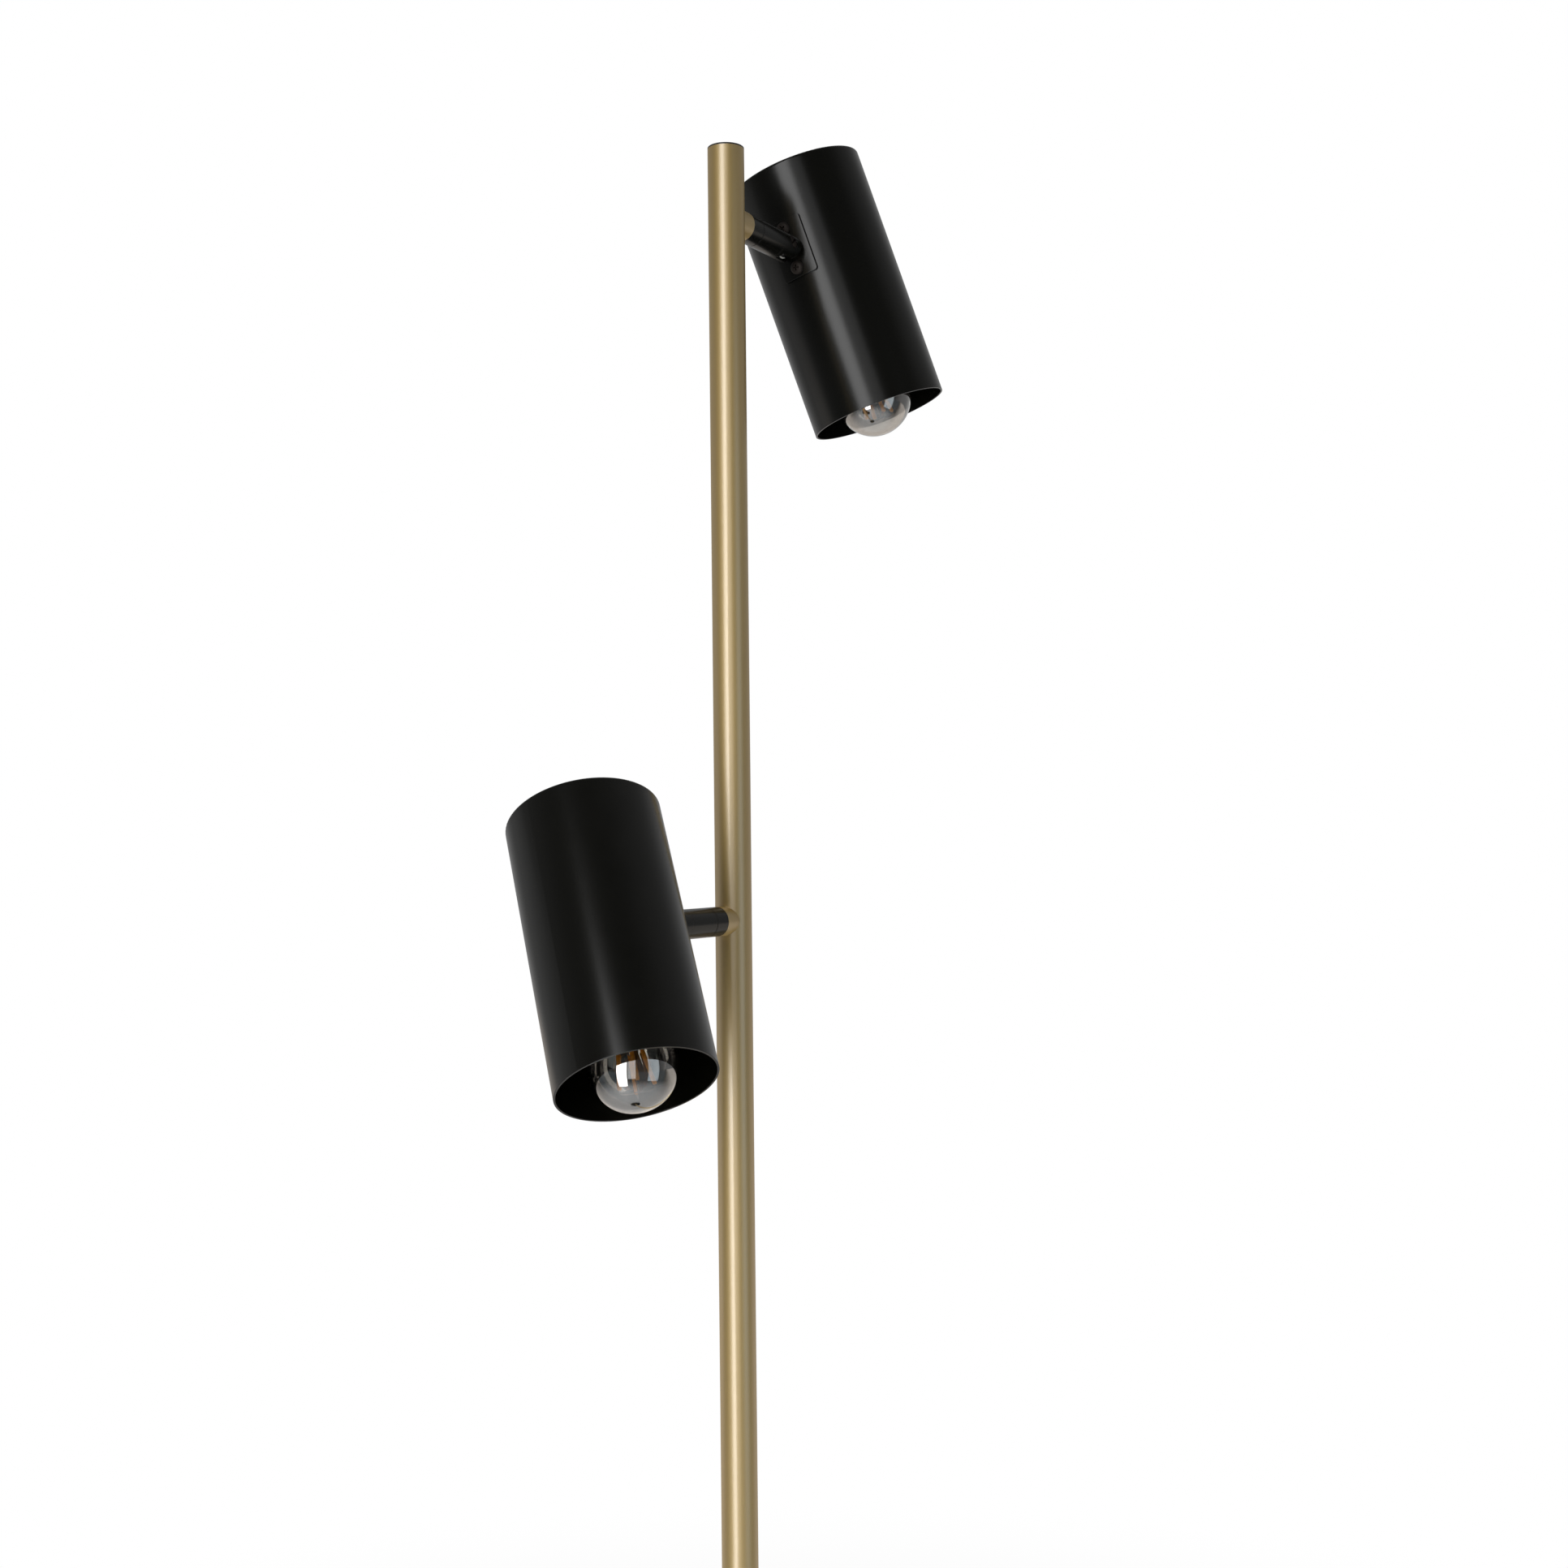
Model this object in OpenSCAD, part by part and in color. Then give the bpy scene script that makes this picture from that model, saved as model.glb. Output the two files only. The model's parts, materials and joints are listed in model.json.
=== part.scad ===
// Two-light floor lamp: a brass pole on a weighted round base, with two black
// cylinder spots on short arms. Each spot swivels round its arm and tilts on a
// fork-and-tongue knuckle. Millimetres, +Z up, origin in the middle of the base's
// underside, +X along the upper arm.

/* [Pole] */
// Outer diameter of both pole tubes
pole_d = 20; // [16:0.5:26]
// Wall of the pole tubes
pole_wall = 1.2; // [0.8:0.1:1.6]
// Height of the lamp, from the floor to the top of the end cap
lamp_h = 1500; // [1450:10:1800]
// Height of the joint between the lower and the upper tube
pole_split = 640; // [300:10:900]
// Rim of the end cap that shows above the tube
cap_rim = 0.9; // [0.5:0.1:3]
// Length of the cap's plug inside the tube
cap_plug = 9; // [5:1:20]
// Length of the coupler hidden inside the tube joint
coupler_len = 60; // [30:2:90]

/* [Base] */
// Diameter of the base cover
base_d = 250; // [200:5:320]
// Height of the base, from the floor to the top of the cover
base_h = 18; // [14:1:30]
// Sheet thickness of the base cover
base_wall = 1.5; // [0.8:0.1:2.5]
// Radius of the cover's rounded upper edge
base_edge_r = 4; // [2.5:0.5:5]
// Thickness of the pad under the base
pad_t = 2.5; // [1.5:0.25:4]
// Gap between the cover's lower rim and the floor
rim_lift = 1; // [0.5:0.25:1.5]
// Gap between the iron weight and the cover's side
weight_gap = 5.5; // [3:0.25:12]
// Outer diameter of the collar at the foot of the pole
collar_d = 28; // [28:1:40]
// Height of the collar at the foot of the pole
collar_h = 14; // [8:1:30]
// Bore of the cord inlet in the side of the base
inlet_bore = 7; // [5:0.5:8]

/* [Arms] */
// Distance from the top of the lamp down to the upper arm
upper_arm_drop = 38.5; // [24:0.5:100]
// Distance from the upper arm down to the lower arm
arm_step = 383; // [280:1:500]
// Angle from the upper arm round to the lower arm, seen from above
arm_spread_angle = 178.4; // [90:0.1:270]
// Outer diameter of the arm, its collar and its stub
arm_d = 16; // [14:0.5:18]
// Length of the brass stub, from the pole's surface
stub_len = 6.7; // [5.5:0.1:15]
// Length of the black fixed collar between the stub and the turning arm
ring_len = 10.3; // [6:0.1:16]
// Open line between the fixed collar and the turning arm
seam_gap = 0.4; // [0.3:0.05:1]
// Length of the turning arm's tube
arm_len = 22.6; // [21:0.2:60]
// Wall of the arm's tube
arm_wall = 2.2; // [1.5:0.1:2.6]
// Distance from the arm tube's end to the tilt axis
fork_len = 11; // [9:0.5:20]

/* [Swivel] */
// Diameter of the hollow swivel bolt
bolt_d = 6; // [5:0.5:6]
// Wire bore through the swivel bolt
wire_bore = 3.4; // [2.5:0.1:3.6]
// Thickness of the web in the arm that turns on the swivel bolt
web_t = 6; // [4:0.5:8]
// Turn each way from mouth-down before the swivel meets its stop
swivel_stop_angle = 150; // [90:5:160]

/* [Knuckle] */
// Width of the slot in the fork
slot_w = 5; // [4:0.1:5.6]
// Thickness of each friction washer beside the tongue
tilt_washer_t = 0.5; // [0.3:0.1:0.8]
// Radius of the tongue's round end
tongue_r = 5.5; // [4.5:0.1:6]
// Diameter of the tilt screw
tilt_screw_d = 4; // [3:0.5:4]
// Distance from the tilt axis to the shade's surface
pivot_off = 11.6; // [11.2:0.1:20]
// Distance from the shade's closed end down to the tilt axis
pivot_drop = 49; // [40:1:60]

/* [Fixing plate] */
// Width of the curved plate on the shade
plate_w = 22; // [18:0.5:26]
// Length of the curved plate along the shade
plate_len = 34; // [32:0.5:44]
// Thickness of the curved plate
plate_t = 1.6; // [1:0.1:2]
// Distance between the two plate screws
plate_pitch = 23.6; // [22:0.2:26]
// Diameter of the plate screws
plate_screw_d = 4; // [3:0.5:4.5]

/* [Shade] */
// Outer diameter of the shade
shade_d = 80; // [74:1:100]
// Length of the shade
shade_len = 150; // [140:1:180]
// Wall of the shade
shade_wall = 1; // [0.6:0.1:2]
// Radius of the shade's closed end at its edge
shade_edge_r = 1.6; // [1:0.1:4]

/* [Bulb and holder] */
// Diameter of the bulb's globe
bulb_d = 45; // [40:1:50]
// Length of the bulb from its tip to its foot contact
bulb_len = 78; // [76:0.5:84]
// Distance that the bulb's tip stands out of the shade's mouth
bulb_out = 12.5; // [0:0.5:16]
// Wall of the bulb's glass
glass_t = 0.8; // [0.5:0.1:1.2]
// Diameter of the bulb's screw cap
bulb_cap_d = 13.9; // [13.5:0.1:14.2]
// Length of the bulb's screw cap, with its foot contact
bulb_cap_len = 22; // [20:0.5:24]
// Outer diameter of the lampholder's skirt
holder_d = 26; // [24:0.5:30]
// Length of the lampholder's body
holder_len = 40; // [36:1:46]
// Diameter of one filament rod
filament_d = 2.2; // [1.2:0.1:2.6]
// Length of one filament rod
filament_len = 24; // [18:0.5:26]

/* [Aim] */
// Turn of the upper spot round its arm, from mouth-down
upper_swivel_angle = -16.35; // [-150:0.05:150]
// Outward tilt of the upper spot
upper_tilt_angle = 10.31; // [-30:0.01:70]
// Turn of the lower spot round its arm, from mouth-down
lower_swivel_angle = 27.88; // [-150:0.01:150]
// Outward tilt of the lower spot
lower_tilt_angle = 18.11; // [-30:0.01:70]

/* [Fits] */
// Radial gap of the fits that turn
run_gap = 0.06; // [0.03:0.01:0.09]
// Radial gap of the fits that stay put
fix_gap = 0.05; // [0.02:0.01:0.1]

/* [Hidden] */
$fn = 64;
eps = 0.01;

// The two spots, upper first
UPPER = 0;
LOWER = 1;
upper_arm_z = lamp_h - upper_arm_drop;
arm_z = [upper_arm_z, upper_arm_z - arm_step];
turn_angle = [0, arm_spread_angle];
swivel_angle = [upper_swivel_angle, lower_swivel_angle];
tilt_angle = [upper_tilt_angle, lower_tilt_angle];

// Pole and base
pole_r = pole_d / 2;
pole_bore_r = pole_r - pole_wall;
cap_z = lamp_h - cap_rim;
foot_z = base_h;
nipple_r = 5;
nut_h = 6;
nut_af = 17;
washer_h = 1.5;
washer_r = 12;
pocket_r = 16;
nut_lift = 3;
pocket_h = nut_h + washer_h + nut_lift;
weight_z = pad_t;
weight_top = base_h - base_wall;
weight_r = base_d / 2 - base_wall - weight_gap;
collar_r = collar_d / 2;
collar_edge_r = 1.5;
collar_floor = 4;
foot_plug_h = 22;
inlet_wall = 2;
inlet_r = inlet_bore / 2 + inlet_wall;
inlet_z = pad_t + inlet_r;
inlet_inner_len = 1.5;
inlet_lip_t = 2;
inlet_lip_w = 1;
groove_w = inlet_bore + 2;
nipple_wall = 1.5;
nipple_z = weight_z + 2;
nipple_grip = 12;
nipple_top = foot_z + collar_floor + nipple_grip;
coupler_r = pole_bore_r - fix_gap;
coupler_wall = 2.4;
cap_edge_r = 0.4;
cap_plug_wall = 1.5;
cap_roof = 1;
pole_lead_r = 2.5;
pole_lead_gap = 6;
pole_lead_top = upper_arm_z - pole_lead_gap;

// Along an arm, from the pole's axis outwards
arm_r = arm_d / 2;
stub_x = pole_r + stub_len;
ring_x = stub_x + ring_len;
arm_x = ring_x + seam_gap;
arm_end_x = arm_x + arm_len;
pivot_x = arm_end_x + fork_len;
arm_bore_r = arm_r - arm_wall;
web_x = arm_x + web_t;
bolt_r = bolt_d / 2;
insert_r = bolt_r + 1;
insert_flange_r = 5.5;
insert_flange_t = 1.4;
insert_flange_x = sqrt(pow(pole_bore_r, 2) - pow(insert_flange_r, 2)) - fix_gap;
insert_setback = 1;
insert_end_x = stub_x - insert_setback;
seam_washer_r = 5.2;
seam_recess = 0.6;
pin_r = 0.65;
pin_at = 6.4;
pin_len = 1.5;
groove_gap = 0.15;
stop_play_angle = 1.5;
spring_t = 0.8;
spring_r = 5.2;
bolt_head_r = 5;
bolt_head_h = 4;
bolt_head_x = web_x + 2 * fix_gap + spring_t;
driver_slot = 1.2;
spigot_len = 8;
spigot_x = arm_end_x - spigot_len;
slot_floor_gap = 2;
slot_floor_x = pivot_x - tongue_r - slot_floor_gap;
fork_bore_r = 2.6;
lead_d = 2.6;
lead_bend_r = 7;
lead_play = 0.4;

// Knuckle, seen from the tilt axis with the shade's axis upright
shade_r = shade_d / 2;
shade_x = pivot_off + shade_r;
tongue_t = slot_w - 2 * tilt_washer_t - 4 * fix_gap;
tilt_washer_r = 6;
tilt_r = tilt_screw_d / 2;
tilt_head_r = 3.5;
tilt_head_h = 2.4;
tilt_head_sink = 0.3;
tilt_head_play = 0.2;
tilt_nut_af = 7;
tilt_nut_h = 2.6;
tilt_nut_play = 0.3;
tilt_seat_y = arm_r - tilt_head_h - tilt_head_sink;
plate_r = shade_r + fix_gap + plate_t;
plate_face_x = shade_x - plate_r;
plate_corner_r = 1.5;
plate_screw_r = plate_screw_d / 2;
screw_head_r = 3.9;
screw_head_h = 2.4;
screw_end = 1.5;
cross_w = 0.9;
cross_len = 4.6;
cross_deep = 1.4;
wire_hole_r = 3;
wire_in = [plate_face_x + plate_t + 2, 0, -1.9];
wire_out = wire_in + [-11, 0, 8.1];

// Inside of the shade
shade_bore_r = shade_r - shade_wall;
shade_top_z = pivot_drop;
mouth_z = pivot_drop - shade_len;
bracket_t = 1.5;
bracket_w = 16;
bracket_r = shade_bore_r - fix_gap;
bracket_foot_z = -plate_len / 2;
holder_top_z = bracket_foot_z;
holder_z = holder_top_z - holder_len;
holder_neck_d = 22;
holder_neck_len = 18;
holder_play = 0.45;
holder_bore_r = bulb_cap_d / 2 + holder_play;
holder_nipple_r = 5;
holder_nipple_len = 7;
holder_nut_h = 3;
holder_nut_af = 14;
grip_count = 3;
grip_start = 4;
grip_pitch = 4.5;
grip_w = 1.2;
grip_h = 0.6;
contact_play = 0.3;

// Bulb, measured up from its tip
globe_r = bulb_d / 2;
tip_z = mouth_z - bulb_out;
shell_t = 0.35;
bulb_neck_r = bulb_cap_d / 2 - shell_t;
bulb_fillet_r = 14;
cap_z0 = bulb_len - bulb_cap_len;
neck_grip = 3;
glass_len = cap_z0 + neck_grip;
shell_len = 15;
shell_end_t = 1;
insulator_inset = 0.6;
insulator_lip = 1;
contact_r = 2.4;
contact_h = 1.6;
stem_r = 2;
stem_len = 30;
stem_top = glass_len - glass_t - fix_gap;
stem_flare_len = 9;
stem_flare_gap = 0.4;
filament_count = 4;
filament_ring_top = 5;
filament_ring_low = 8.5;
filament_z = globe_r - filament_len / 2 + 1;

brass = [0.80, 0.68, 0.42];
black = [0.06, 0.06, 0.055];
steel = [0.72, 0.73, 0.75];
iron = [0.25, 0.25, 0.26];
rubber = [0.10, 0.10, 0.10];
nylon = [0.88, 0.87, 0.82];

// ---------- frames ----------

// Frame of a fixed arm piece: x runs out along the arm from the pole's axis
module at_arm(i) {
    translate([0, 0, arm_z[i]]) rotate([0, 0, turn_angle[i]]) children();
}

// Frame that turns with the arm
module on_arm(i) {
    at_arm(i) rotate([swivel_angle[i], 0, 0]) children();
}

// Frame that tilts with the shade: origin on the tilt axis, shade's mouth down
module on_head(i) {
    on_arm(i) translate([pivot_x, 0, 0]) rotate([0, -tilt_angle[i], 0]) children();
}

// Same frame moved to the shade's own axis
module on_axis(i) {
    on_head(i) translate([shade_x, 0, 0]) children();
}

// ---------- helpers ----------

// Cylinder along x from x0 to x1
module rod_x(x0, x1, r) {
    translate([x0, 0, 0]) rotate([0, 90, 0]) cylinder(h = x1 - x0, r = r);
}

// Cylinder along y from y0 to y1
module rod_y(y0, y1, r) {
    translate([0, y0, 0]) rotate([-90, 0, 0]) cylinder(h = y1 - y0, r = r);
}

// Cylinder along z from z0 to z1
module rod_z(z0, z1, r) {
    translate([0, 0, z0]) cylinder(h = z1 - z0, r = r);
}

// Flat ring along z
module ring_z(z0, z1, r, bore) {
    difference() {
        rod_z(z0, z1, r);
        rod_z(z0 - 1, z1 + 1, bore);
    }
}

// Flat washer along x
module washer_x(x0, x1, r, bore) {
    difference() {
        rod_x(x0, x1, r);
        rod_x(x0 - 1, x1 + 1, bore);
    }
}

// Hexagonal nut along z, af across its flats
module hex_nut(z0, h, af, bore) {
    difference() {
        translate([0, 0, z0]) cylinder(h = h, r = af / sqrt(3), $fn = 6);
        rod_z(z0 - 1, z0 + h + 1, bore);
    }
}

// Rectangle with round corners, centred
module round_rect(w, h, r) {
    square([w - 2 * r, h], center = true);
    square([w, h - 2 * r], center = true);
    for (x = [-1, 1], y = [-1, 1])
        translate([x * (w / 2 - r), y * (h / 2 - r)]) circle(r);
}

// Round rod between two points
module slant_rod(p, q, r) {
    v = q - p;
    len = norm(v);
    translate(p) rotate([0, acos(v.z / len), atan2(v.y, v.x)]) cylinder(h = len, r = r);
}

// Half section of a disc with a round upper edge
module disc_profile(r, h, edge) {
    square([r - edge, h]);
    square([r, h - edge]);
    translate([r - edge, h - edge]) circle(edge);
}

// ---------- base ----------

// Pressed steel cover, open below
module base_cover() color(black) difference() {
    translate([0, 0, rim_lift])
        rotate_extrude() disc_profile(base_d / 2, base_h - rim_lift, base_edge_r);
    translate([0, 0, rim_lift - 1]) rotate_extrude()
        disc_profile(base_d / 2 - base_wall, base_h - rim_lift - base_wall + 1,
            base_edge_r - base_wall);
    rod_z(0, base_h + 1, nipple_r + fix_gap);
    translate([0, 0, inlet_z]) rod_y(0, base_d, inlet_r);
}

// Cast weight, with a pocket for the nut and a groove for the cord
module base_weight() color(iron) difference() {
    rod_z(weight_z, weight_top - fix_gap, weight_r);
    rod_z(0, base_h, nipple_r + fix_gap);
    rod_z(0, weight_z + pocket_h, pocket_r);
    translate([-groove_w / 2, 0, weight_z - 1])
        cube([groove_w, base_d, 2 * inlet_r]);
}

module base_pad() color(rubber)
    rod_z(0, pad_t - fix_gap, weight_r);

module base_washer() color(steel)
    ring_z(weight_z + pocket_h - washer_h - fix_gap, weight_z + pocket_h - fix_gap,
        washer_r, nipple_r + fix_gap);

module base_nut() color(steel)
    hex_nut(weight_z + pocket_h - washer_h - nut_h - 2 * fix_gap, nut_h, nut_af,
        nipple_r + fix_gap);

module base_nipple() color(steel)
    ring_z(nipple_z, nipple_top, nipple_r, nipple_r - nipple_wall);

// Solid foot that the pole slides over, threaded on the nipple
module foot_collar() color(brass) difference() {
    union() {
        translate([0, 0, foot_z + fix_gap]) rotate_extrude()
            disc_profile(collar_r, collar_h, collar_edge_r);
        rod_z(foot_z + fix_gap, foot_z + collar_floor + foot_plug_h, pole_bore_r - fix_gap);
    }
    translate([0, 0, foot_z + collar_floor])
        ring_z(0, collar_h, pole_r + fix_gap, pole_bore_r - fix_gap);
    rod_z(0, foot_z + collar_floor + foot_plug_h + 1, nipple_r + fix_gap);
}

// Rubber bush in the side of the base, bored for the cord
module cord_inlet() color(rubber) {
    side_y = sqrt(pow(base_d / 2, 2) - pow(inlet_r, 2));
    lip_y = base_d / 2 + 2 * fix_gap;
    end_y = base_d / 2 + inlet_lip_t;
    translate([0, 0, inlet_z]) difference() {
        union() {
            rod_y(side_y - base_wall - inlet_inner_len, end_y, inlet_r - fix_gap);
            rod_y(lip_y, end_y, inlet_r + inlet_lip_w);
        }
        rod_y(0, base_d, inlet_bore / 2);
    }
}

// ---------- pole ----------

module pole_tube(z0, z1) {
    ring_z(z0, z1, pole_r, pole_bore_r);
}

module pole_lower() color(brass)
    pole_tube(foot_z + collar_floor + fix_gap, pole_split);

module pole_upper() color(brass) difference() {
    pole_tube(pole_split + fix_gap, cap_z);
    for (i = [UPPER, LOWER]) at_arm(i) rod_x(0, pole_d, insert_r + fix_gap);
}

module pole_coupler() color(steel)
    ring_z(pole_split - coupler_len / 2, pole_split + coupler_len / 2, coupler_r,
        coupler_r - coupler_wall);

module pole_cap() color(black) difference() {
    plug_r = pole_bore_r - fix_gap;
    union() {
        translate([0, 0, cap_z + fix_gap]) rotate_extrude()
            disc_profile(pole_r, cap_rim - fix_gap, cap_edge_r);
        rod_z(cap_z - cap_plug, cap_z + cap_rim / 2, plug_r);
    }
    rod_z(cap_z - cap_plug - 1, cap_z - cap_roof, plug_r - cap_plug_wall);
}

// Mains lead inside the pole, from the nut's pocket to the upper arm
module pole_lead() color(nylon)
    rod_z(pad_t + fix_gap, pole_lead_top, pole_lead_r);

// ---------- swivel ----------

// Flanged threaded insert clenched in the pole's wall
module insert(i) color(steel) at_arm(i) difference() {
    union() {
        rod_x(insert_flange_x - insert_flange_t, insert_flange_x, insert_flange_r);
        rod_x(insert_flange_x - eps, insert_end_x, insert_r);
    }
    rod_x(0, stub_x, bolt_r + fix_gap);
}

// Brass stub, saddled to the pole
module stub(i) color(brass) at_arm(i) difference() {
    rod_x(0, stub_x, arm_r);
    rod_x(-1, stub_x + 1, insert_r + fix_gap);
    rod_z(-arm_d, arm_d, pole_r + fix_gap);
}

// Fixed black collar, with the pin that stops the swivel
module fixed_ring(i) color(black) at_arm(i) {
    difference() {
        rod_x(stub_x + fix_gap, ring_x, arm_r);
        rod_x(0, ring_x + 1, bolt_r + fix_gap);
        rod_x(ring_x - seam_recess, ring_x + 1, seam_washer_r + fix_gap);
    }
    translate([0, 0, pin_at]) rod_x(ring_x - pin_len, arm_x + pin_len, pin_r);
}

module seam_washer(i) color(nylon) at_arm(i)
    washer_x(ring_x - seam_recess + fix_gap, arm_x - fix_gap, seam_washer_r,
        bolt_r + fix_gap);

// Hollow bolt that carries the arm; the lead runs through it
module swivel_bolt(i) color(steel) at_arm(i) difference() {
    union() {
        rod_x(insert_flange_x - insert_flange_t, bolt_head_x, bolt_r);
        rod_x(bolt_head_x, bolt_head_x + bolt_head_h, bolt_head_r);
    }
    rod_x(0, pivot_x, wire_bore / 2);
    translate([bolt_head_x + bolt_head_h - driver_slot, -arm_r, -driver_slot / 2])
        cube([driver_slot + 1, arm_d, driver_slot]);
}

module spring_washer(i) color(steel) at_arm(i)
    washer_x(web_x + fix_gap, web_x + fix_gap + spring_t, spring_r, bolt_r + fix_gap);

// Turning arm: a tube with a bored web, and the groove that the stop pin runs in
module arm(i) color(black) on_arm(i) {
    half = swivel_stop_angle + stop_play_angle + asin((pin_r + groove_gap) / pin_at);
    difference() {
        rod_x(arm_x, arm_end_x, arm_r);
        rod_x(0, arm_end_x + 1, bolt_r + run_gap);
        rod_x(web_x, arm_end_x + 1, arm_bore_r);
        translate([arm_x - 1, 0, 0]) rotate([0, 90, 0]) rotate([0, 0, 180 - half])
            rotate_extrude(angle = 2 * half)
                translate([pin_at - pin_r - groove_gap, 0])
                    square([2 * (pin_r + groove_gap), pin_len + 1 + 2 * groove_gap]);
    }
}

// ---------- knuckle ----------

// Fork with round ears, pressed in the arm
module fork(i) color(black) on_arm(i) {
    difference() {
        union() {
            rod_x(spigot_x, arm_end_x + 1, arm_bore_r - fix_gap);
            rod_x(arm_end_x + fix_gap, pivot_x, arm_r);
            intersection() {
                rod_x(pivot_x - 1, pivot_x + arm_r, arm_r);
                translate([pivot_x, 0, 0]) rod_y(-arm_r, arm_r, arm_r);
            }
        }
        rod_x(0, pivot_x, fork_bore_r);
        translate([slot_floor_x, -slot_w / 2, -arm_d]) cube([arm_d * 2, slot_w, arm_d * 2]);
        translate([pivot_x, 0, 0]) {
            rod_y(-arm_d, arm_d, tilt_r + fix_gap);
            rod_y(-arm_d, -tilt_seat_y, tilt_head_r + tilt_head_play);
            rotate([-90, 0, 0]) translate([0, 0, tilt_seat_y])
                cylinder(h = arm_d, r = (tilt_nut_af + tilt_nut_play) / sqrt(3), $fn = 6);
        }
    }
}

module tilt_screw(i) color(steel) on_arm(i) translate([pivot_x, 0, 0]) difference() {
    union() {
        rod_y(-tilt_seat_y - tilt_head_h / 2, tilt_seat_y + tilt_nut_h, tilt_r);
        rod_y(-tilt_seat_y - tilt_head_h, -tilt_seat_y - fix_gap, tilt_head_r);
    }
    translate([-arm_r, -tilt_seat_y - tilt_head_h - 1, -driver_slot / 2])
        cube([arm_d, driver_slot + 1, driver_slot]);
}

module tilt_nut(i) color(steel) on_arm(i) translate([pivot_x, 0, 0])
    rotate([-90, 0, 0])
        hex_nut(tilt_seat_y + fix_gap, tilt_nut_h - 2 * fix_gap, tilt_nut_af,
            tilt_r + fix_gap);

module tilt_washers(i) color(nylon) on_arm(i) translate([pivot_x, 0, 0])
    for (side = [-1, 1])
        translate([0, side * (slot_w - tilt_washer_t) / 2, 0]) rotate([90, 0, 0])
            ring_z(-tilt_washer_t / 2 + fix_gap / 2, tilt_washer_t / 2 - fix_gap / 2,
                tilt_washer_r, tilt_r + fix_gap);

// Curved fixing plate with the tongue that the shade hangs on
module knuckle(i) color(black) on_head(i) {
    difference() {
        union() {
            intersection() {
                translate([shade_x, 0, 0])
                    ring_z(-plate_len, plate_len, plate_r, shade_r + fix_gap);
                rotate([0, 90, 0]) linear_extrude(shade_x)
                    round_rect(plate_len, plate_w, plate_corner_r);
            }
            rod_y(-tongue_t / 2, tongue_t / 2, tongue_r);
            intersection() {
                translate([0, -tongue_t / 2, -tongue_r])
                    cube([shade_x, tongue_t, 2 * tongue_r]);
                difference() {
                    rod_x(0, shade_x, 4 * tongue_r);
                    translate([shade_x, 0, 0])
                        rod_z(-plate_len, plate_len, shade_r + fix_gap);
                }
            }
        }
        rod_y(-slot_w, slot_w, tilt_r + run_gap);
        for (side = [-1, 1])
            translate([0, 0, side * plate_pitch / 2])
                rod_x(0, shade_x, plate_screw_r + fix_gap);
        slant_rod(wire_in, wire_out, (lead_d + lead_play) / 2);
    }
}

module plate_screws(i) color(black) on_head(i)
    for (side = [-1, 1]) translate([0, 0, side * plate_pitch / 2]) difference() {
        union() {
            intersection() {
                rod_x(plate_face_x - screw_head_h, plate_face_x - fix_gap, screw_head_r);
                translate([plate_face_x + screw_head_h, 0, 0]) sphere(2 * screw_head_h);
            }
            rod_x(plate_face_x - screw_head_h / 2,
                shade_x - shade_bore_r + bracket_t + screw_end, plate_screw_r);
        }
        for (turn = [0, 90]) rotate([turn, 0, 0])
            translate([plate_face_x - screw_head_h - 1, -cross_len / 2, -cross_w / 2])
                cube([cross_deep + 1, cross_len, cross_w]);
    }

// ---------- shade ----------

module shade(i) color(black) on_axis(i) difference() {
    translate([0, 0, mouth_z]) rotate_extrude()
        disc_profile(shade_r, shade_len, shade_edge_r);
    rod_z(mouth_z - 1, shade_top_z - shade_wall, shade_bore_r);
    for (side = [-1, 1]) translate([0, 0, side * plate_pitch / 2])
        rod_x(-shade_d, 0, plate_screw_r + fix_gap);
    rod_x(-shade_d, 0, wire_hole_r);
}

// Inner bracket: a curved leg behind the plate and a foot for the lampholder
module bracket(i) color(steel) on_axis(i) difference() {
    intersection() {
        union() {
            difference() {
                translate([-shade_r, -bracket_w / 2, bracket_foot_z])
                    cube([shade_r - bracket_w, bracket_w, plate_len]);
                rod_z(-plate_len, plate_len, bracket_r - bracket_t);
            }
            translate([-shade_r, -bracket_w / 2, bracket_foot_z])
                cube([shade_r, bracket_w, bracket_t]);
            rod_z(bracket_foot_z, bracket_foot_z + bracket_t, bracket_w / 2);
        }
        rod_z(-plate_len, plate_len, bracket_r);
    }
    rod_z(-plate_len, plate_len, holder_nipple_r + fix_gap);
    for (side = [-1, 1]) translate([0, 0, side * plate_pitch / 2])
        rod_x(-shade_d, 0, plate_screw_r + fix_gap);
    rod_x(-shade_d, 0, wire_hole_r);
}

// ---------- lampholder and bulb ----------

// Insulated lampholder with its threaded nipple on top
module holder(i) color(black) on_axis(i) difference() {
    union() {
        rod_z(holder_z, holder_top_z - holder_neck_len, holder_d / 2);
        rod_z(holder_top_z - holder_neck_len - 1, holder_top_z - fix_gap,
            holder_neck_d / 2);
        rod_z(holder_top_z - 1, holder_top_z + holder_nipple_len, holder_nipple_r);
        for (k = [0:grip_count - 1])
            translate([0, 0, holder_z + grip_start + k * grip_pitch])
                ring_z(0, grip_w, holder_d / 2 + grip_h, holder_d / 2 - 1);
    }
    rod_z(holder_z - 1, tip_z + bulb_len + contact_play, holder_bore_r);
    rod_z(holder_z - 1, holder_top_z + holder_nipple_len + 1, lead_d / 2 + lead_play);
}

module holder_nut(i) color(steel) on_axis(i)
    hex_nut(holder_top_z + bracket_t + fix_gap, holder_nut_h, holder_nut_af,
        holder_nipple_r + fix_gap);

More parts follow.
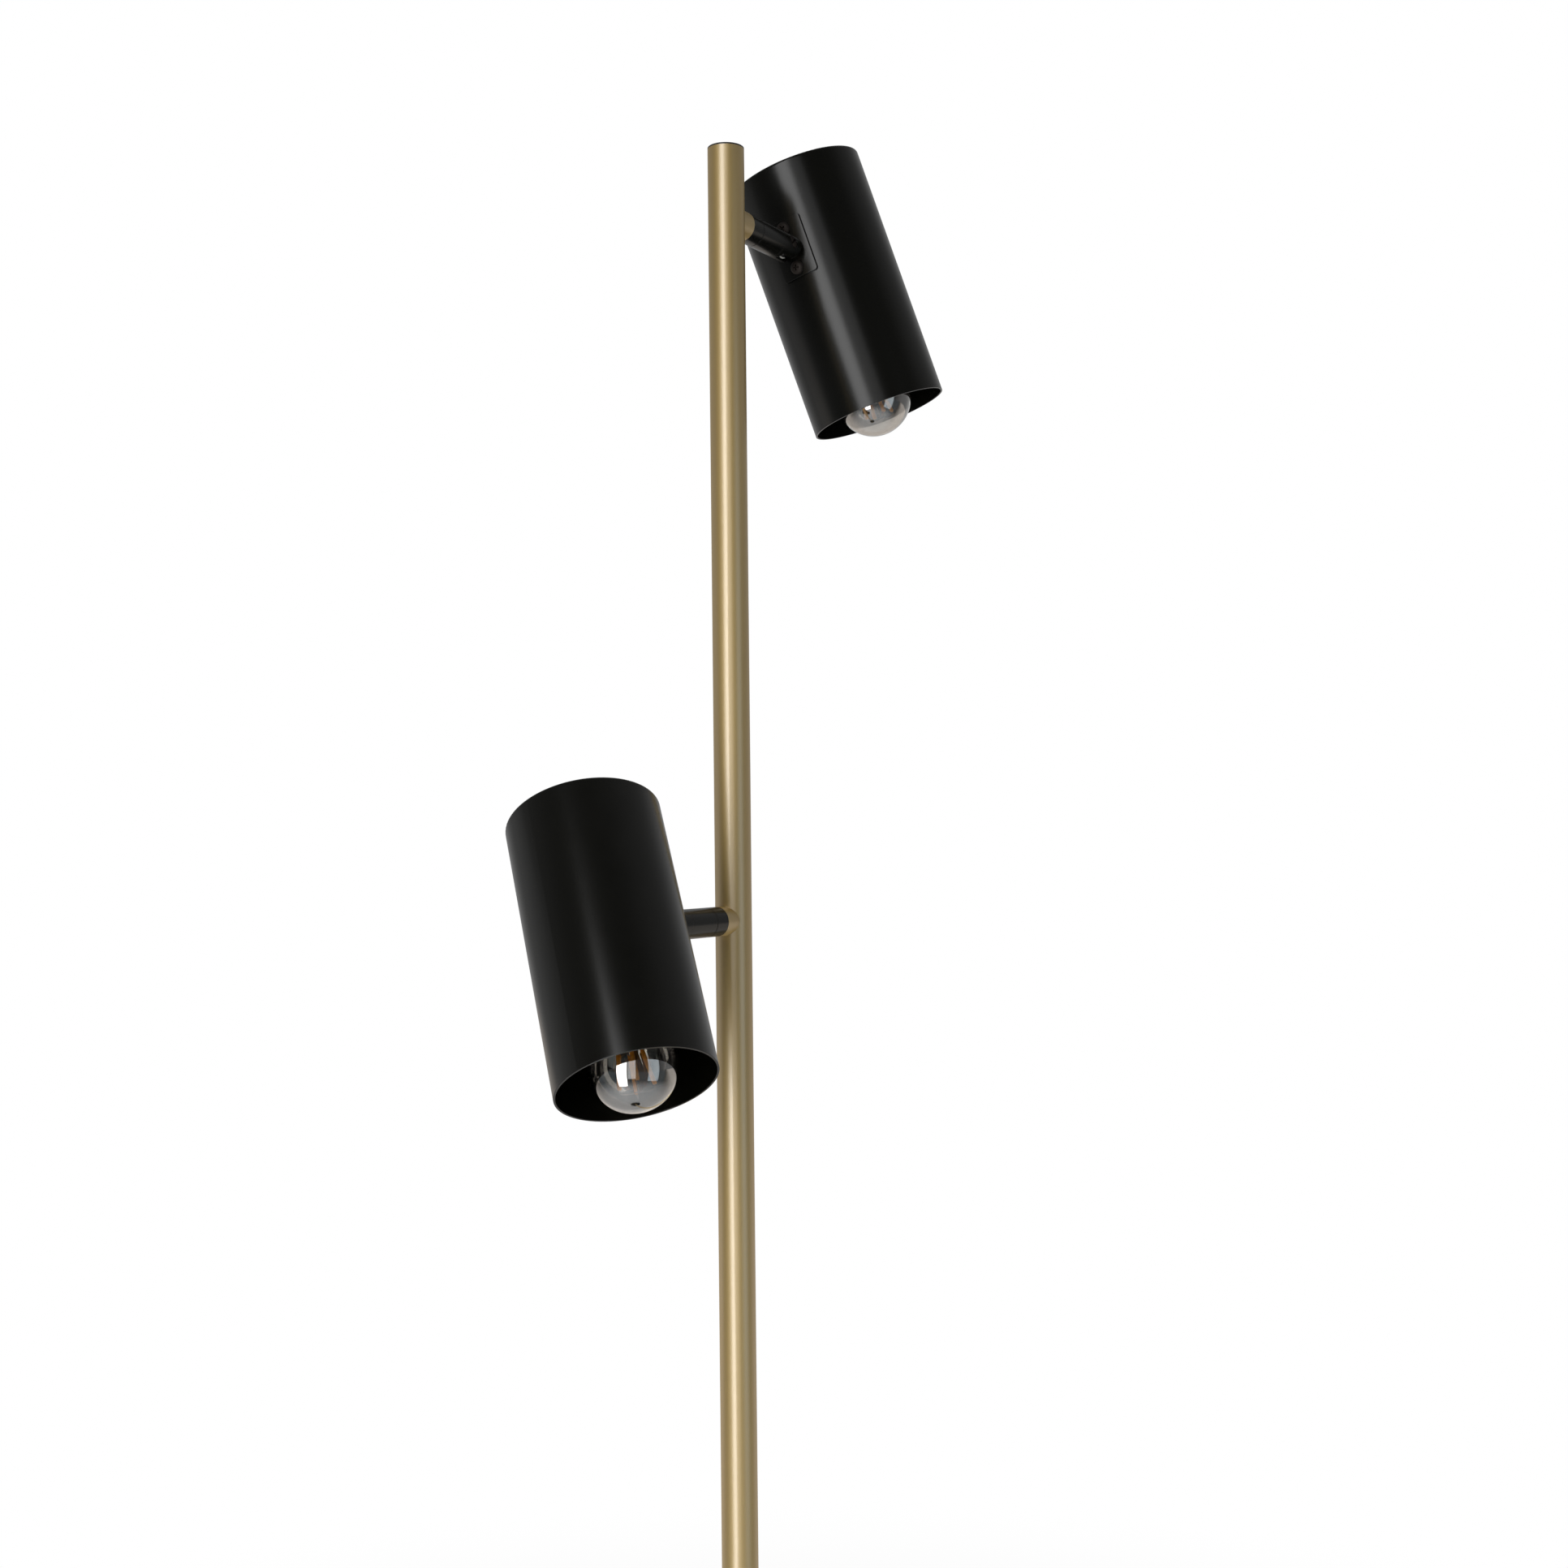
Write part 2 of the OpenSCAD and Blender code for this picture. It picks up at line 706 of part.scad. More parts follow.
// Lead from the wire hole, bent down into the top of the lampholder
module lead(i) color(nylon) on_head(i) {
    rod_x(wire_in.x - 0.5, shade_x - lead_bend_r, lead_d / 2);
    translate([shade_x - lead_bend_r, 0, -lead_bend_r]) rotate([90, 0, 0])
        rotate_extrude(angle = 90) translate([lead_bend_r, 0]) circle(d = lead_d);
    translate([shade_x, 0, 0])
        rod_z(holder_top_z + 2, -lead_bend_r, lead_d / 2);
}

// Half outline of the bulb's glass from its tip to its neck, made smaller by cut
module glass_half(cut) {
    fillet_x = bulb_neck_r + bulb_fillet_r;
    fillet_y = globe_r + sqrt(pow(globe_r + bulb_fillet_r, 2) - pow(fillet_x, 2));
    touch = globe_r / (globe_r + bulb_fillet_r);
    touch_x = fillet_x * touch;
    touch_y = globe_r + (fillet_y - globe_r) * touch;
    intersection() {
        translate([0, globe_r]) circle(globe_r - cut);
        square([globe_r, 2 * globe_r]);
    }
    difference() {
        polygon([
            [0, globe_r], [touch_x - cut, touch_y - cut / 2], [fillet_x - cut, fillet_y],
            [bulb_neck_r - cut, fillet_y], [0, fillet_y],
        ]);
        translate([fillet_x, fillet_y]) circle(bulb_fillet_r + cut);
    }
    translate([0, globe_r]) square([bulb_neck_r - cut, glass_len - globe_r]);
}

module bulb_glass(i) color([0.85, 0.92, 0.95, 0.35]) on_axis(i)
    translate([0, 0, tip_z]) difference() {
        rotate_extrude() glass_half(0);
        rotate_extrude() difference() {
            glass_half(glass_t);
            translate([0, glass_len - glass_t]) square(globe_r);
        }
    }

// Screw shell, insulator and foot contact
module bulb_cap(i) color(steel) on_axis(i) translate([0, 0, tip_z]) {
    difference() {
        rod_z(cap_z0, cap_z0 + shell_len, bulb_cap_d / 2);
        rod_z(cap_z0 - 1, glass_len + fix_gap, bulb_neck_r + fix_gap);
        rod_z(cap_z0 - 1, cap_z0 + shell_len - shell_end_t, bulb_neck_r - shell_end_t);
    }
    translate([0, 0, cap_z0 + shell_len])
        cylinder(h = bulb_cap_len - shell_len - contact_h,
            r1 = bulb_cap_d / 2 - insulator_inset, r2 = contact_r + insulator_lip);
    rod_z(bulb_len - contact_h, bulb_len, contact_r);
}

// Glass stem in the middle of the bulb
module bulb_stem(i) color([0.85, 0.92, 0.95, 0.5]) on_axis(i)
    translate([0, 0, tip_z]) {
        rod_z(stem_top - stem_len, stem_top, stem_r);
        translate([0, 0, stem_top - stem_flare_len])
            cylinder(h = stem_flare_len, r1 = stem_r,
                r2 = bulb_neck_r - glass_t - stem_flare_gap);
    }

// Filament rods in a cage, each leaning out towards the globe
module filaments(i) color([0.95, 0.75, 0.25]) on_axis(i)
    translate([0, 0, tip_z]) for (k = [0:filament_count - 1])
        rotate([0, 0, (k + 0.5) * 360 / filament_count])
            slant_rod([filament_ring_low, 0, filament_z],
                [filament_ring_top, 0, filament_z + filament_len], filament_d / 2);

// ---------- drawing ----------

base_cover();
base_weight();
base_pad();
base_nut();
base_washer();
base_nipple();
foot_collar();
cord_inlet();
pole_lower();
pole_upper();
pole_coupler();
pole_cap();
pole_lead();

insert(UPPER);  // upper_insert
stub(UPPER);  // upper_stub
fixed_ring(UPPER);  // upper_ring
seam_washer(UPPER);  // upper_seam_washer
swivel_bolt(UPPER);  // upper_bolt
spring_washer(UPPER);  // upper_spring_washer
arm(UPPER);  // upper_arm
fork(UPPER);  // upper_fork
tilt_screw(UPPER);  // upper_tilt_screw
tilt_nut(UPPER);  // upper_tilt_nut
tilt_washers(UPPER);  // upper_tilt_washers
knuckle(UPPER);  // upper_knuckle
plate_screws(UPPER);  // upper_plate_screws
shade(UPPER);  // upper_shade
bracket(UPPER);  // upper_bracket
holder(UPPER);  // upper_holder
holder_nut(UPPER);  // upper_holder_nut
lead(UPPER);  // upper_lead
bulb_glass(UPPER);  // upper_bulb_glass
bulb_cap(UPPER);  // upper_bulb_cap
bulb_stem(UPPER);  // upper_bulb_stem
filaments(UPPER);  // upper_filaments

insert(LOWER);  // lower_insert
stub(LOWER);  // lower_stub
fixed_ring(LOWER);  // lower_ring
seam_washer(LOWER);  // lower_seam_washer
swivel_bolt(LOWER);  // lower_bolt
spring_washer(LOWER);  // lower_spring_washer
arm(LOWER);  // lower_arm
fork(LOWER);  // lower_fork
tilt_screw(LOWER);  // lower_tilt_screw
tilt_nut(LOWER);  // lower_tilt_nut
tilt_washers(LOWER);  // lower_tilt_washers
knuckle(LOWER);  // lower_knuckle
plate_screws(LOWER);  // lower_plate_screws
shade(LOWER);  // lower_shade
bracket(LOWER);  // lower_bracket
holder(LOWER);  // lower_holder
holder_nut(LOWER);  // lower_holder_nut
lead(LOWER);  // lower_lead
bulb_glass(LOWER);  // lower_bulb_glass
bulb_cap(LOWER);  // lower_bulb_cap
bulb_stem(LOWER);  // lower_bulb_stem
filaments(LOWER);  // lower_filaments
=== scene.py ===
# %% [markdown]
# # A two-spot floor lamp
# A brass pole carries two black cylinder spots on short arms. The solid model already holds the
# true sizes, so this lesson loads it as a fixed frame, gives every solid its finish, and remakes
# by hand the small pieces that a solid modeller leaves plain: bulbs, screws, nuts and threads.

# %% Load the solid model
import json
import math

import bpy
from mathutils import Matrix, Vector


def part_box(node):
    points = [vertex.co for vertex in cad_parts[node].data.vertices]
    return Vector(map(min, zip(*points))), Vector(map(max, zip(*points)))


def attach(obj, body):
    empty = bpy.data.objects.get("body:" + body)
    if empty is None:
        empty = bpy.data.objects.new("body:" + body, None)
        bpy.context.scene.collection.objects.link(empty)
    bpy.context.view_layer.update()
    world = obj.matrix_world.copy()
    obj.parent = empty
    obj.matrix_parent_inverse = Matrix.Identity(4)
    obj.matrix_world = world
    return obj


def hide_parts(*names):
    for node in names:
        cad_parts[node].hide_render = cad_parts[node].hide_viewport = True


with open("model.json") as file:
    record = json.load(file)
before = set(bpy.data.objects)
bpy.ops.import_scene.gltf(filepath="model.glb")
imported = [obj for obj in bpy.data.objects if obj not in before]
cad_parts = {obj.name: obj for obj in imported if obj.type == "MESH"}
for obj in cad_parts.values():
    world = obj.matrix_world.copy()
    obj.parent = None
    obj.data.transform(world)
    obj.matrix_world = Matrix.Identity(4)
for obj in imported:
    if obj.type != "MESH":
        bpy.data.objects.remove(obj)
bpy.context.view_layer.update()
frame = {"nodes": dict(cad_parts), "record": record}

# %% [markdown]
# ## Where the two spots sit
# Each spot turns round its arm and tilts on a knuckle. A bulb is easiest to model standing up at
# the origin, so each spot gets a matrix that carries such a piece to its place on the lamp. The
# sizes repeat the ones of the solid model, in millimetres, and a print sets each globe's centre
# beside the box of the solid bulb.

# %% Places on the lamp
MM = 0.001
SPOTS = {
    "upper": {"height": 1461.5, "turn": 0.0, "swivel": -16.35, "tilt": 10.31},
    "lower": {"height": 1078.5, "turn": 178.4, "swivel": 27.88, "tilt": 18.11},
}
PIVOT_X = 61.0       # from the pole's axis to the tilt axis
SHADE_AXIS_X = 51.6  # from the tilt axis to the shade's axis
BULB_TIP_Z = -113.5  # from the tilt axis down to the bulb's tip
GLOBE_R = 22.5


def turned_by(axis, degrees):
    return Matrix.Rotation(math.radians(degrees), 4, axis)


def moved_by(x, y, z):
    return Matrix.Translation((x * MM, y * MM, z * MM))


def arm_place(spot):
    aim = SPOTS[spot]
    return (moved_by(0, 0, aim["height"]) @ turned_by("Z", aim["turn"])
            @ turned_by("X", aim["swivel"]) @ moved_by(PIVOT_X, 0, 0))


def head_place(spot):
    return arm_place(spot) @ turned_by("Y", -SPOTS[spot]["tilt"])


def bulb_place(spot):
    return head_place(spot) @ moved_by(SHADE_AXIS_X, 0, BULB_TIP_Z)


for spot in SPOTS:
    low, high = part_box(spot + "_bulb_glass")
    centre = bulb_place(spot) @ Vector((0, 0, GLOBE_R * MM))
    print(spot, "globe centre is at", [round(c, 4) for c in centre],
          "in the box", [round(c, 4) for c in low], [round(c, 4) for c in high])

# %% [markdown]
# ## Camera
# The photograph looks level at the lamp from about a metre, with the picture slid down a little
# instead of the camera being tipped, so the pole stays nearly parallel to the frame. It leans by
# half a degree, which is a slight roll of the camera.

# %% Set the camera
VIEW_DIRECTION = Vector((0.86384, 0.50377, 0.0))
CAMERA_PLACE = (-0.89675, -0.55543, 1.13124)
CAMERA_ROLL = -0.587   # degrees
LENS, SENSOR = 44.35, 36.0
PICTURE_SLIDE = 0.02494
camera_data = bpy.data.cameras.new("camera")
camera_data.lens = LENS
camera_data.sensor_width = SENSOR
camera_data.shift_y = PICTURE_SLIDE
camera = bpy.data.objects.new("camera", camera_data)
bpy.context.scene.collection.objects.link(camera)
aim = VIEW_DIRECTION.to_track_quat("-Z", "Y").to_matrix().to_4x4()
camera.matrix_world = (Matrix.Translation(CAMERA_PLACE) @ aim
                       @ turned_by("Z", CAMERA_ROLL))
bpy.context.scene.camera = camera
bpy.context.scene.view_settings.view_transform = "Standard"
print("camera lens", camera_data.lens, "mm")

# %% [markdown]
# ## Nodes in code
# Every finish is a tree of nodes. This helper adds one node, sets its values, and links a socket
# wherever one is given in place of a value, so that a tree reads from top to bottom.

# %% Node helpers
def add(tree, kind, inputs=None, **settings):
    node = tree.nodes.new("ShaderNode" + kind)
    for name, value in settings.items():
        setattr(node, name, value)
    for name, value in (inputs or {}).items():
        if isinstance(value, bpy.types.NodeSocket):
            tree.links.new(value, node.inputs[name])
        else:
            node.inputs[name].default_value = value
    return node


def maths(tree, operation, first, second=0.0, third=0.0, clamp=False):
    return add(tree, "Math", {0: first, 1: second, 2: third}, operation=operation,
               use_clamp=clamp).outputs[0]


def remap(tree, value, low, high, to_low=0.0, to_high=1.0, **settings):
    return add(tree, "MapRange", {"Value": value, "From Min": low, "From Max": high,
                                  "To Min": to_low, "To Max": to_high},
               **settings).outputs["Result"]


def mixed_colour(tree, share, first, second):
    return add(tree, "Mix", {"Factor": share, "A": first, "B": second},
               data_type="RGBA").outputs["Result"]


def facing_share(tree, vector, way):
    """How far a vector points along a way, or lies out along it."""
    return add(tree, "VectorMath", {0: vector, 1: way},
               operation="DOT_PRODUCT").outputs["Value"]


def new_group(name, inputs, outputs):
    tree = bpy.data.node_groups.new(name, "ShaderNodeTree")
    for label, kind, value in inputs:
        socket = tree.interface.new_socket(label, in_out="INPUT", socket_type=kind)
        socket.default_value = value
    for label, kind in outputs:
        tree.interface.new_socket(label, in_out="OUTPUT", socket_type=kind)
    start = tree.nodes.new("NodeGroupInput")
    end = tree.nodes.new("NodeGroupOutput")
    return tree, start.outputs, end.inputs


FLOAT, VECTOR = "NodeSocketFloat", "NodeSocketVector"
WHITE = (1.0, 1.0, 1.0, 1.0)
print("node helpers are ready")

# %% [markdown]
# ## Studio
# A product photograph on white has a lit backdrop behind the object and a dim room in front. The
# world is that room as shiny surfaces mirror it: palest where the backdrop hangs, dim at the
# sides, nearly black behind the camera. The camera sees white all round, and so does a ray that
# runs straight through glass. Four tall soft lamps light the object. The key lamp stands left of
# the camera, a wider one straight behind the camera, a cool window at the right and a weak fill
# at the far left.

# %% Build the studio's world
ROOM = [(0.0, 0.04), (0.30, 0.06), (0.50, 0.17), (0.75, 0.22), (1.0, 0.45)]
AMBIENT = (0.62, 0.62, 0.62, 1.0)   # the plain light that dull surfaces get
world = bpy.data.worlds.new("studio")
bpy.context.scene.world = world
world.use_nodes = True
tree = world.node_tree
tree.nodes.clear()
path = add(tree, "LightPath").outputs
direction = add(tree, "TexCoord").outputs["Generated"]
toward_backdrop = remap(tree, facing_share(tree, direction, VIEW_DIRECTION), -1.0, 1.0)
ramp = add(tree, "ValToRGB", {"Fac": toward_backdrop})
while len(ramp.color_ramp.elements) < len(ROOM):
    ramp.color_ramp.elements.new(0.5)
for element, (place, level) in zip(ramp.color_ramp.elements, ROOM):
    element.position = place
    element.color = (level, level, level, 1.0)
bounced = maths(tree, "MINIMUM", path["Glossy Depth"], 1.0)
mirrored = mixed_colour(tree, bounced, WHITE, ramp.outputs["Color"])
seen = maths(tree, "MAXIMUM", path["Is Glossy Ray"], path["Is Transmission Ray"])
lit = mixed_colour(tree, seen, AMBIENT, mirrored)
shown = mixed_colour(tree, path["Is Camera Ray"], lit, WHITE)
background = add(tree, "Background", {"Color": shown, "Strength": 1.0})
add(tree, "OutputWorld", {"Surface": background.outputs[0]})
print("the world is a room with", len(ROOM), "levels")

# %% Hang the soft lamps
def soft_lamp(name, side_angle, distance, height, width, tall, power, colour=(1, 1, 1)):
    """A flat lamp, turned left of the camera by an angle round the pole and facing it."""
    way = turned_by("Z", -side_angle) @ -VIEW_DIRECTION
    spot = way * distance + Vector((0, 0, height))
    data = bpy.data.lights.new(name, "AREA")
    data.shape = "RECTANGLE"
    data.size, data.size_y = width, tall
    data.energy = power
    data.color = colour
    lamp = bpy.data.objects.new(name, data)
    bpy.context.scene.collection.objects.link(lamp)
    turn = (-way).to_track_quat("-Z", "Y").to_matrix().to_4x4()
    lamp.matrix_world = Matrix.Translation(spot) @ turn
    print(name, "hangs at", [round(c, 2) for c in spot])


soft_lamp("key lamp", 23.0, distance=1.3, height=1.15, width=0.52, tall=2.3, power=13.0)
soft_lamp("front lamp", 0.0, distance=2.5, height=1.25, width=0.80, tall=2.5, power=4.2)
soft_lamp("right window", -53.0, distance=1.9, height=0.90, width=0.95, tall=1.9, power=3.6,
          colour=(0.82, 0.93, 1.0))
soft_lamp("left fill lamp", 105.0, distance=2.6, height=0.9, width=1.5, tall=1.8, power=1.0)

# %% [markdown]
# ## Floor
# The floor is white paper. It keeps the lamp's shadow near the foot, runs out to pure white, and
# shows as white through glass. Where metal or glass mirrors it, it is dim and cool toward the
# camera, and brighter and warmer under the backdrop, as a studio floor is.

# %% Lay the floor
PAPER = (0.86, 0.86, 0.86, 1.0)
COOL_FRONT = (0.82, 0.93, 1.0, 1.0)
WARM_BACK = (1.0, 0.92, 0.84, 1.0)
FLOOR_R = 9.0
bpy.ops.object.select_all(action="DESELECT")
bpy.ops.mesh.primitive_circle_add(vertices=96, radius=FLOOR_R, fill_type="NGON",
                                  location=(0, 0, 0))
floor = bpy.context.object
floor.name = "floor"
paper = bpy.data.materials.new("white_paper")
paper.use_nodes = True
tree = paper.node_tree
tree.nodes.clear()
place = add(tree, "TexCoord").outputs["Object"]
reach = add(tree, "VectorMath", {0: place}, operation="LENGTH").outputs["Value"]
far = remap(tree, reach, 0.5, 2.2, interpolation_type="SMOOTHSTEP")
path = add(tree, "LightPath").outputs
seen = maths(tree, "MAXIMUM", path["Is Camera Ray"],
             maths(tree, "MAXIMUM", path["Is Glossy Ray"], path["Is Transmission Ray"]))
glow = maths(tree, "MULTIPLY", seen, maths(tree, "MULTIPLY_ADD", far, 0.6, 0.4))
behind = facing_share(tree, place, VIEW_DIRECTION)
mirrored = maths(tree, "MAXIMUM", remap(tree, behind, 0.1, 1.2, 0.1, 0.55),
                 remap(tree, reach, 0.9, 1.6, 0.20, 0.10))
bounced = maths(tree, "MINIMUM", path["Glossy Depth"], 1.0)
level = maths(tree, "MAXIMUM", mirrored, maths(tree, "SUBTRACT", 1.0, bounced))
hue = mixed_colour(tree, remap(tree, behind, -0.2, 0.1), COOL_FRONT, WARM_BACK)
hue = mixed_colour(tree, bounced, WHITE, hue)
matt = add(tree, "BsdfDiffuse", {"Color": PAPER})
bright = add(tree, "Emission", {"Color": hue, "Strength": level})
mixed = add(tree, "MixShader", {0: glow, 1: matt.outputs[0], 2: bright.outputs[0]})
add(tree, "OutputMaterial", {"Surface": mixed.outputs[0]})
floor.data.materials.append(paper)
print("the floor is", round(floor.dimensions.x, 1), "m across")

# %% [markdown]
# ## Effects that every finish shares
# Real surfaces are never one flat colour. A coat is thinner and paler on its edges, metal keeps
# fine lines from the brush, paint dries with a faint skin like orange peel, and a little dust
# settles on what faces up. Each effect is one node group here, so that brass, paint, rubber and
# plastic can all use it with their own numbers.

# %% Edge wear and rounded edges
tree, given, out = new_group(
    "edge_wear",
    [("Radius", FLOAT, 0.0006), ("Amount", FLOAT, 0.6), ("Breaks", FLOAT, 260.0)],
    [("Mask", FLOAT), ("Normal", VECTOR)])
rounded = add(tree, "Bevel", {"Radius": given["Radius"]}, samples=6).outputs["Normal"]
flat = add(tree, "NewGeometry").outputs["Normal"]
agree = add(tree, "VectorMath", {0: rounded, 1: flat}, operation="DOT_PRODUCT")
edge = remap(tree, agree.outputs["Value"], 0.995, 0.80)
where = add(tree, "TexCoord").outputs["Object"]
patches = add(tree, "TexNoise", {"Vector": where, "Scale": given["Breaks"],
                                 "Detail": 3.0}).outputs["Fac"]
broken = remap(tree, patches, 0.35, 0.70)
tree.links.new(maths(tree, "MULTIPLY", maths(tree, "MULTIPLY", edge, broken),
                     given["Amount"], clamp=True), out["Mask"])
tree.links.new(rounded, out["Normal"])
EDGE_WEAR = tree
print(tree.name, "has", len(tree.nodes), "nodes")

# %% Cloudy change of tone
tree, given, out = new_group(
    "cloudy_tone", [("Scale", FLOAT, 12.0), ("Contrast", FLOAT, 0.25)],
    [("Tone", FLOAT)])
where = add(tree, "TexCoord").outputs["Object"]
broad = add(tree, "TexNoise", {"Vector": where, "Scale": given["Scale"], "Detail": 4.0,
                               "Roughness": 0.55}).outputs["Fac"]
low = maths(tree, "SUBTRACT", 0.5, given["Contrast"])
high = maths(tree, "ADD", 0.5, given["Contrast"])
tree.links.new(remap(tree, broad, low, high), out["Tone"])
CLOUDY_TONE = tree
print(tree.name, "has", len(tree.nodes), "nodes")

# %% Fine grain, drawn out along one way or even all round
tree, given, out = new_group(
    "fine_grain", [("Stretch", VECTOR, (1.0, 1.0, 1.0)), ("Scale", FLOAT, 900.0)],
    [("Grain", FLOAT), ("Specks", FLOAT)])
where = add(tree, "TexCoord").outputs["Object"]
drawn = add(tree, "VectorMath", {0: where, 1: given["Stretch"]}, operation="MULTIPLY")
grain = add(tree, "TexNoise", {"Vector": drawn.outputs["Vector"], "Scale": given["Scale"],
                               "Detail": 2.0, "Roughness": 0.6}).outputs["Fac"]
specks = add(tree, "TexVoronoi", {"Vector": where, "Scale": 420.0}).outputs["Distance"]
tree.links.new(grain, out["Grain"])
tree.links.new(remap(tree, specks, 0.10, 0.03), out["Specks"])
FINE_GRAIN = tree
print(tree.name, "has", len(tree.nodes), "nodes")

# %% Dust on what faces up
tree, given, out = new_group("settled_dust", [("Amount", FLOAT, 0.1)], [("Mask", FLOAT)])
up = add(tree, "SeparateXYZ", {0: add(tree, "NewGeometry").outputs["Normal"]}).outputs["Z"]
level = remap(tree, up, 0.35, 0.95)
where = add(tree, "TexCoord").outputs["Object"]
drift = add(tree, "TexNoise", {"Vector": where, "Scale": 60.0, "Detail": 5.0})
lying = maths(tree, "MULTIPLY", level, remap(tree, drift.outputs["Fac"], 0.4, 0.75))
tree.links.new(maths(tree, "MULTIPLY", lying, given["Amount"], clamp=True), out["Mask"])
SETTLED_DUST = tree
print(tree.name, "has", len(tree.nodes), "nodes")

# %% [markdown]
# ## One recipe for every solid finish
# Brass, paint, steel and rubber differ in their numbers, not in kind: two tones mixed by clouds,
# a grain that changes the gloss and raises the surface a little, a worn edge and some dust.
# The recipe below takes those numbers. Colours are linear light, as the shader wants them.

# %% The finish recipe
DUST = (0.42, 0.40, 0.37, 1.0)


def use_group(tree, group, inputs):
    node = tree.nodes.new("ShaderNodeGroup")
    node.node_tree = group
    for name, value in inputs.items():
        node.inputs[name].default_value = value
    return node.outputs


def finish(name, tones, gloss, metal=0.0, stretch=(1, 1, 1), grain=900.0, cloud=12.0,
           contrast=0.25, bump=0.15, depth=0.00002, worn=None, wear=0.5, edge=0.0005,
           dust=0.05, specular=0.5, lacquer=None):
    """A solid finish: two tones, two roughnesses, grain, worn edges and dust."""
    material = bpy.data.materials.new(name)
    material.use_nodes = True
    tree = material.node_tree
    shader = tree.nodes["Principled BSDF"]
    clouds = use_group(tree, CLOUDY_TONE, {"Scale": cloud, "Contrast": contrast})
    grains = use_group(tree, FINE_GRAIN, {"Stretch": stretch, "Scale": grain})
    edges = use_group(tree, EDGE_WEAR, {"Radius": edge, "Amount": wear})
    dusty = use_group(tree, SETTLED_DUST, {"Amount": dust})
    first, second = [tuple(tone) + (1.0,) for tone in tones]
    share = maths(tree, "MULTIPLY_ADD", clouds["Tone"], 0.7,
                  maths(tree, "MULTIPLY", grains["Grain"], 0.3))
    colour = mixed_colour(tree, share, first, second)
    colour = mixed_colour(tree, edges["Mask"], colour, tuple(worn or tones[1]) + (1.0,))
    colour = mixed_colour(tree, dusty["Mask"], colour, DUST)
    rough = maths(tree, "MULTIPLY_ADD", dusty["Mask"], 0.3,
                  remap(tree, grains["Grain"], 0.0, 1.0, gloss[0], gloss[1]), clamp=True)
    raised = add(tree, "Bump", {"Height": grains["Grain"], "Normal": edges["Normal"],
                                "Strength": bump, "Distance": depth}).outputs["Normal"]
    tree.links.new(colour, shader.inputs["Base Color"])
    tree.links.new(rough, shader.inputs["Roughness"])
    tree.links.new(raised, shader.inputs["Normal"])
    shader.inputs["Metallic"].default_value = metal
    shader.inputs["Specular IOR Level"].default_value = specular
    if lacquer:
        shader.inputs["Coat Weight"].default_value = 1.0
        shader.inputs["Coat Roughness"].default_value = lacquer[0]
        shader.inputs["Coat IOR"].default_value = lacquer[1]
    print(name, "has", len(tree.nodes), "nodes")
    return material


FINISHES = {}

# %% [markdown]
# ## Satin brass
# The pole and the stubs are polished round on a belt and then lacquered. Belt lines that run
# round a tube spread the light along it, so the highlight is a long soft line, and the lacquer
# turns its core nearly white. The lines are grain that is drawn out across and left fine along Z.

# %% Make the brass
FINISHES["satin_brass"] = finish(
    "satin_brass", [(0.62, 0.42, 0.10), (0.67, 0.465, 0.125)], (0.58, 0.66), metal=1.0,
    stretch=(0.03, 0.03, 1.0), grain=2600.0, cloud=5.0, bump=0.12, depth=0.00003,
    worn=(0.74, 0.66, 0.46), wear=0.5, dust=0.04, lacquer=(0.37, 2.9))

# %% [markdown]
# ## Black coat
# The spots, arms and base wear a fine satin powder coat. It is nearly black with a little warmth,
# its skin has the small even ripple of powder that has melted and set, and its edges look paler
# because the coat pulls back from them.

# %% Make the black coat
FINISHES["black_paint"] = finish(
    "black_paint", [(0.0014, 0.0014, 0.0007), (0.0022, 0.0022, 0.0013)], (0.20, 0.26),
    grain=1400.0, cloud=9.0, bump=0.10, depth=0.00003, worn=(0.035, 0.033, 0.031),
    wear=0.55, edge=0.0004, dust=0.008, specular=0.48)

# %% [markdown]
# ## The other solid finishes
# What is hidden or small still gets its own finish, since the lamp is seen from all sides and
# may be taken apart: zinc plate, black oxide, cast iron, rubber, nylon, moulded plastic, the
# lead's soft sleeve, the bulb's nickel cap and the filaments' phosphor.

# %% Make the other solid finishes
FINISHES["plated_steel"] = finish(
    "plated_steel", [(0.50, 0.51, 0.50), (0.62, 0.60, 0.55)], (0.28, 0.42), metal=1.0,
    grain=700.0, cloud=60.0, worn=(0.72, 0.72, 0.70), dust=0.06)
FINISHES["black_steel"] = finish(
    "black_steel", [(0.016, 0.013, 0.011), (0.034, 0.025, 0.020)], (0.46, 0.60), metal=0.6,
    grain=900.0, cloud=160.0, worn=(0.12, 0.09, 0.075), wear=0.7, edge=0.0002, dust=0.02)
FINISHES["grey_iron"] = finish(
    "grey_iron", [(0.060, 0.060, 0.062), (0.12, 0.115, 0.11)], (0.55, 0.75), metal=0.6,
    grain=260.0, cloud=30.0, bump=0.7, depth=0.0004, worn=(0.30, 0.29, 0.28), dust=0.12)
FINISHES["black_rubber"] = finish(
    "black_rubber", [(0.012, 0.012, 0.012), (0.022, 0.021, 0.020)], (0.62, 0.78),
    grain=1100.0, cloud=25.0, bump=0.3, worn=(0.05, 0.05, 0.05), dust=0.12, specular=0.35)
FINISHES["black_plastic"] = finish(
    "black_plastic", [(0.010, 0.010, 0.010), (0.016, 0.015, 0.015)], (0.42, 0.55),
    grain=1600.0, cloud=30.0, bump=0.2, worn=(0.05, 0.05, 0.05), wear=0.4)
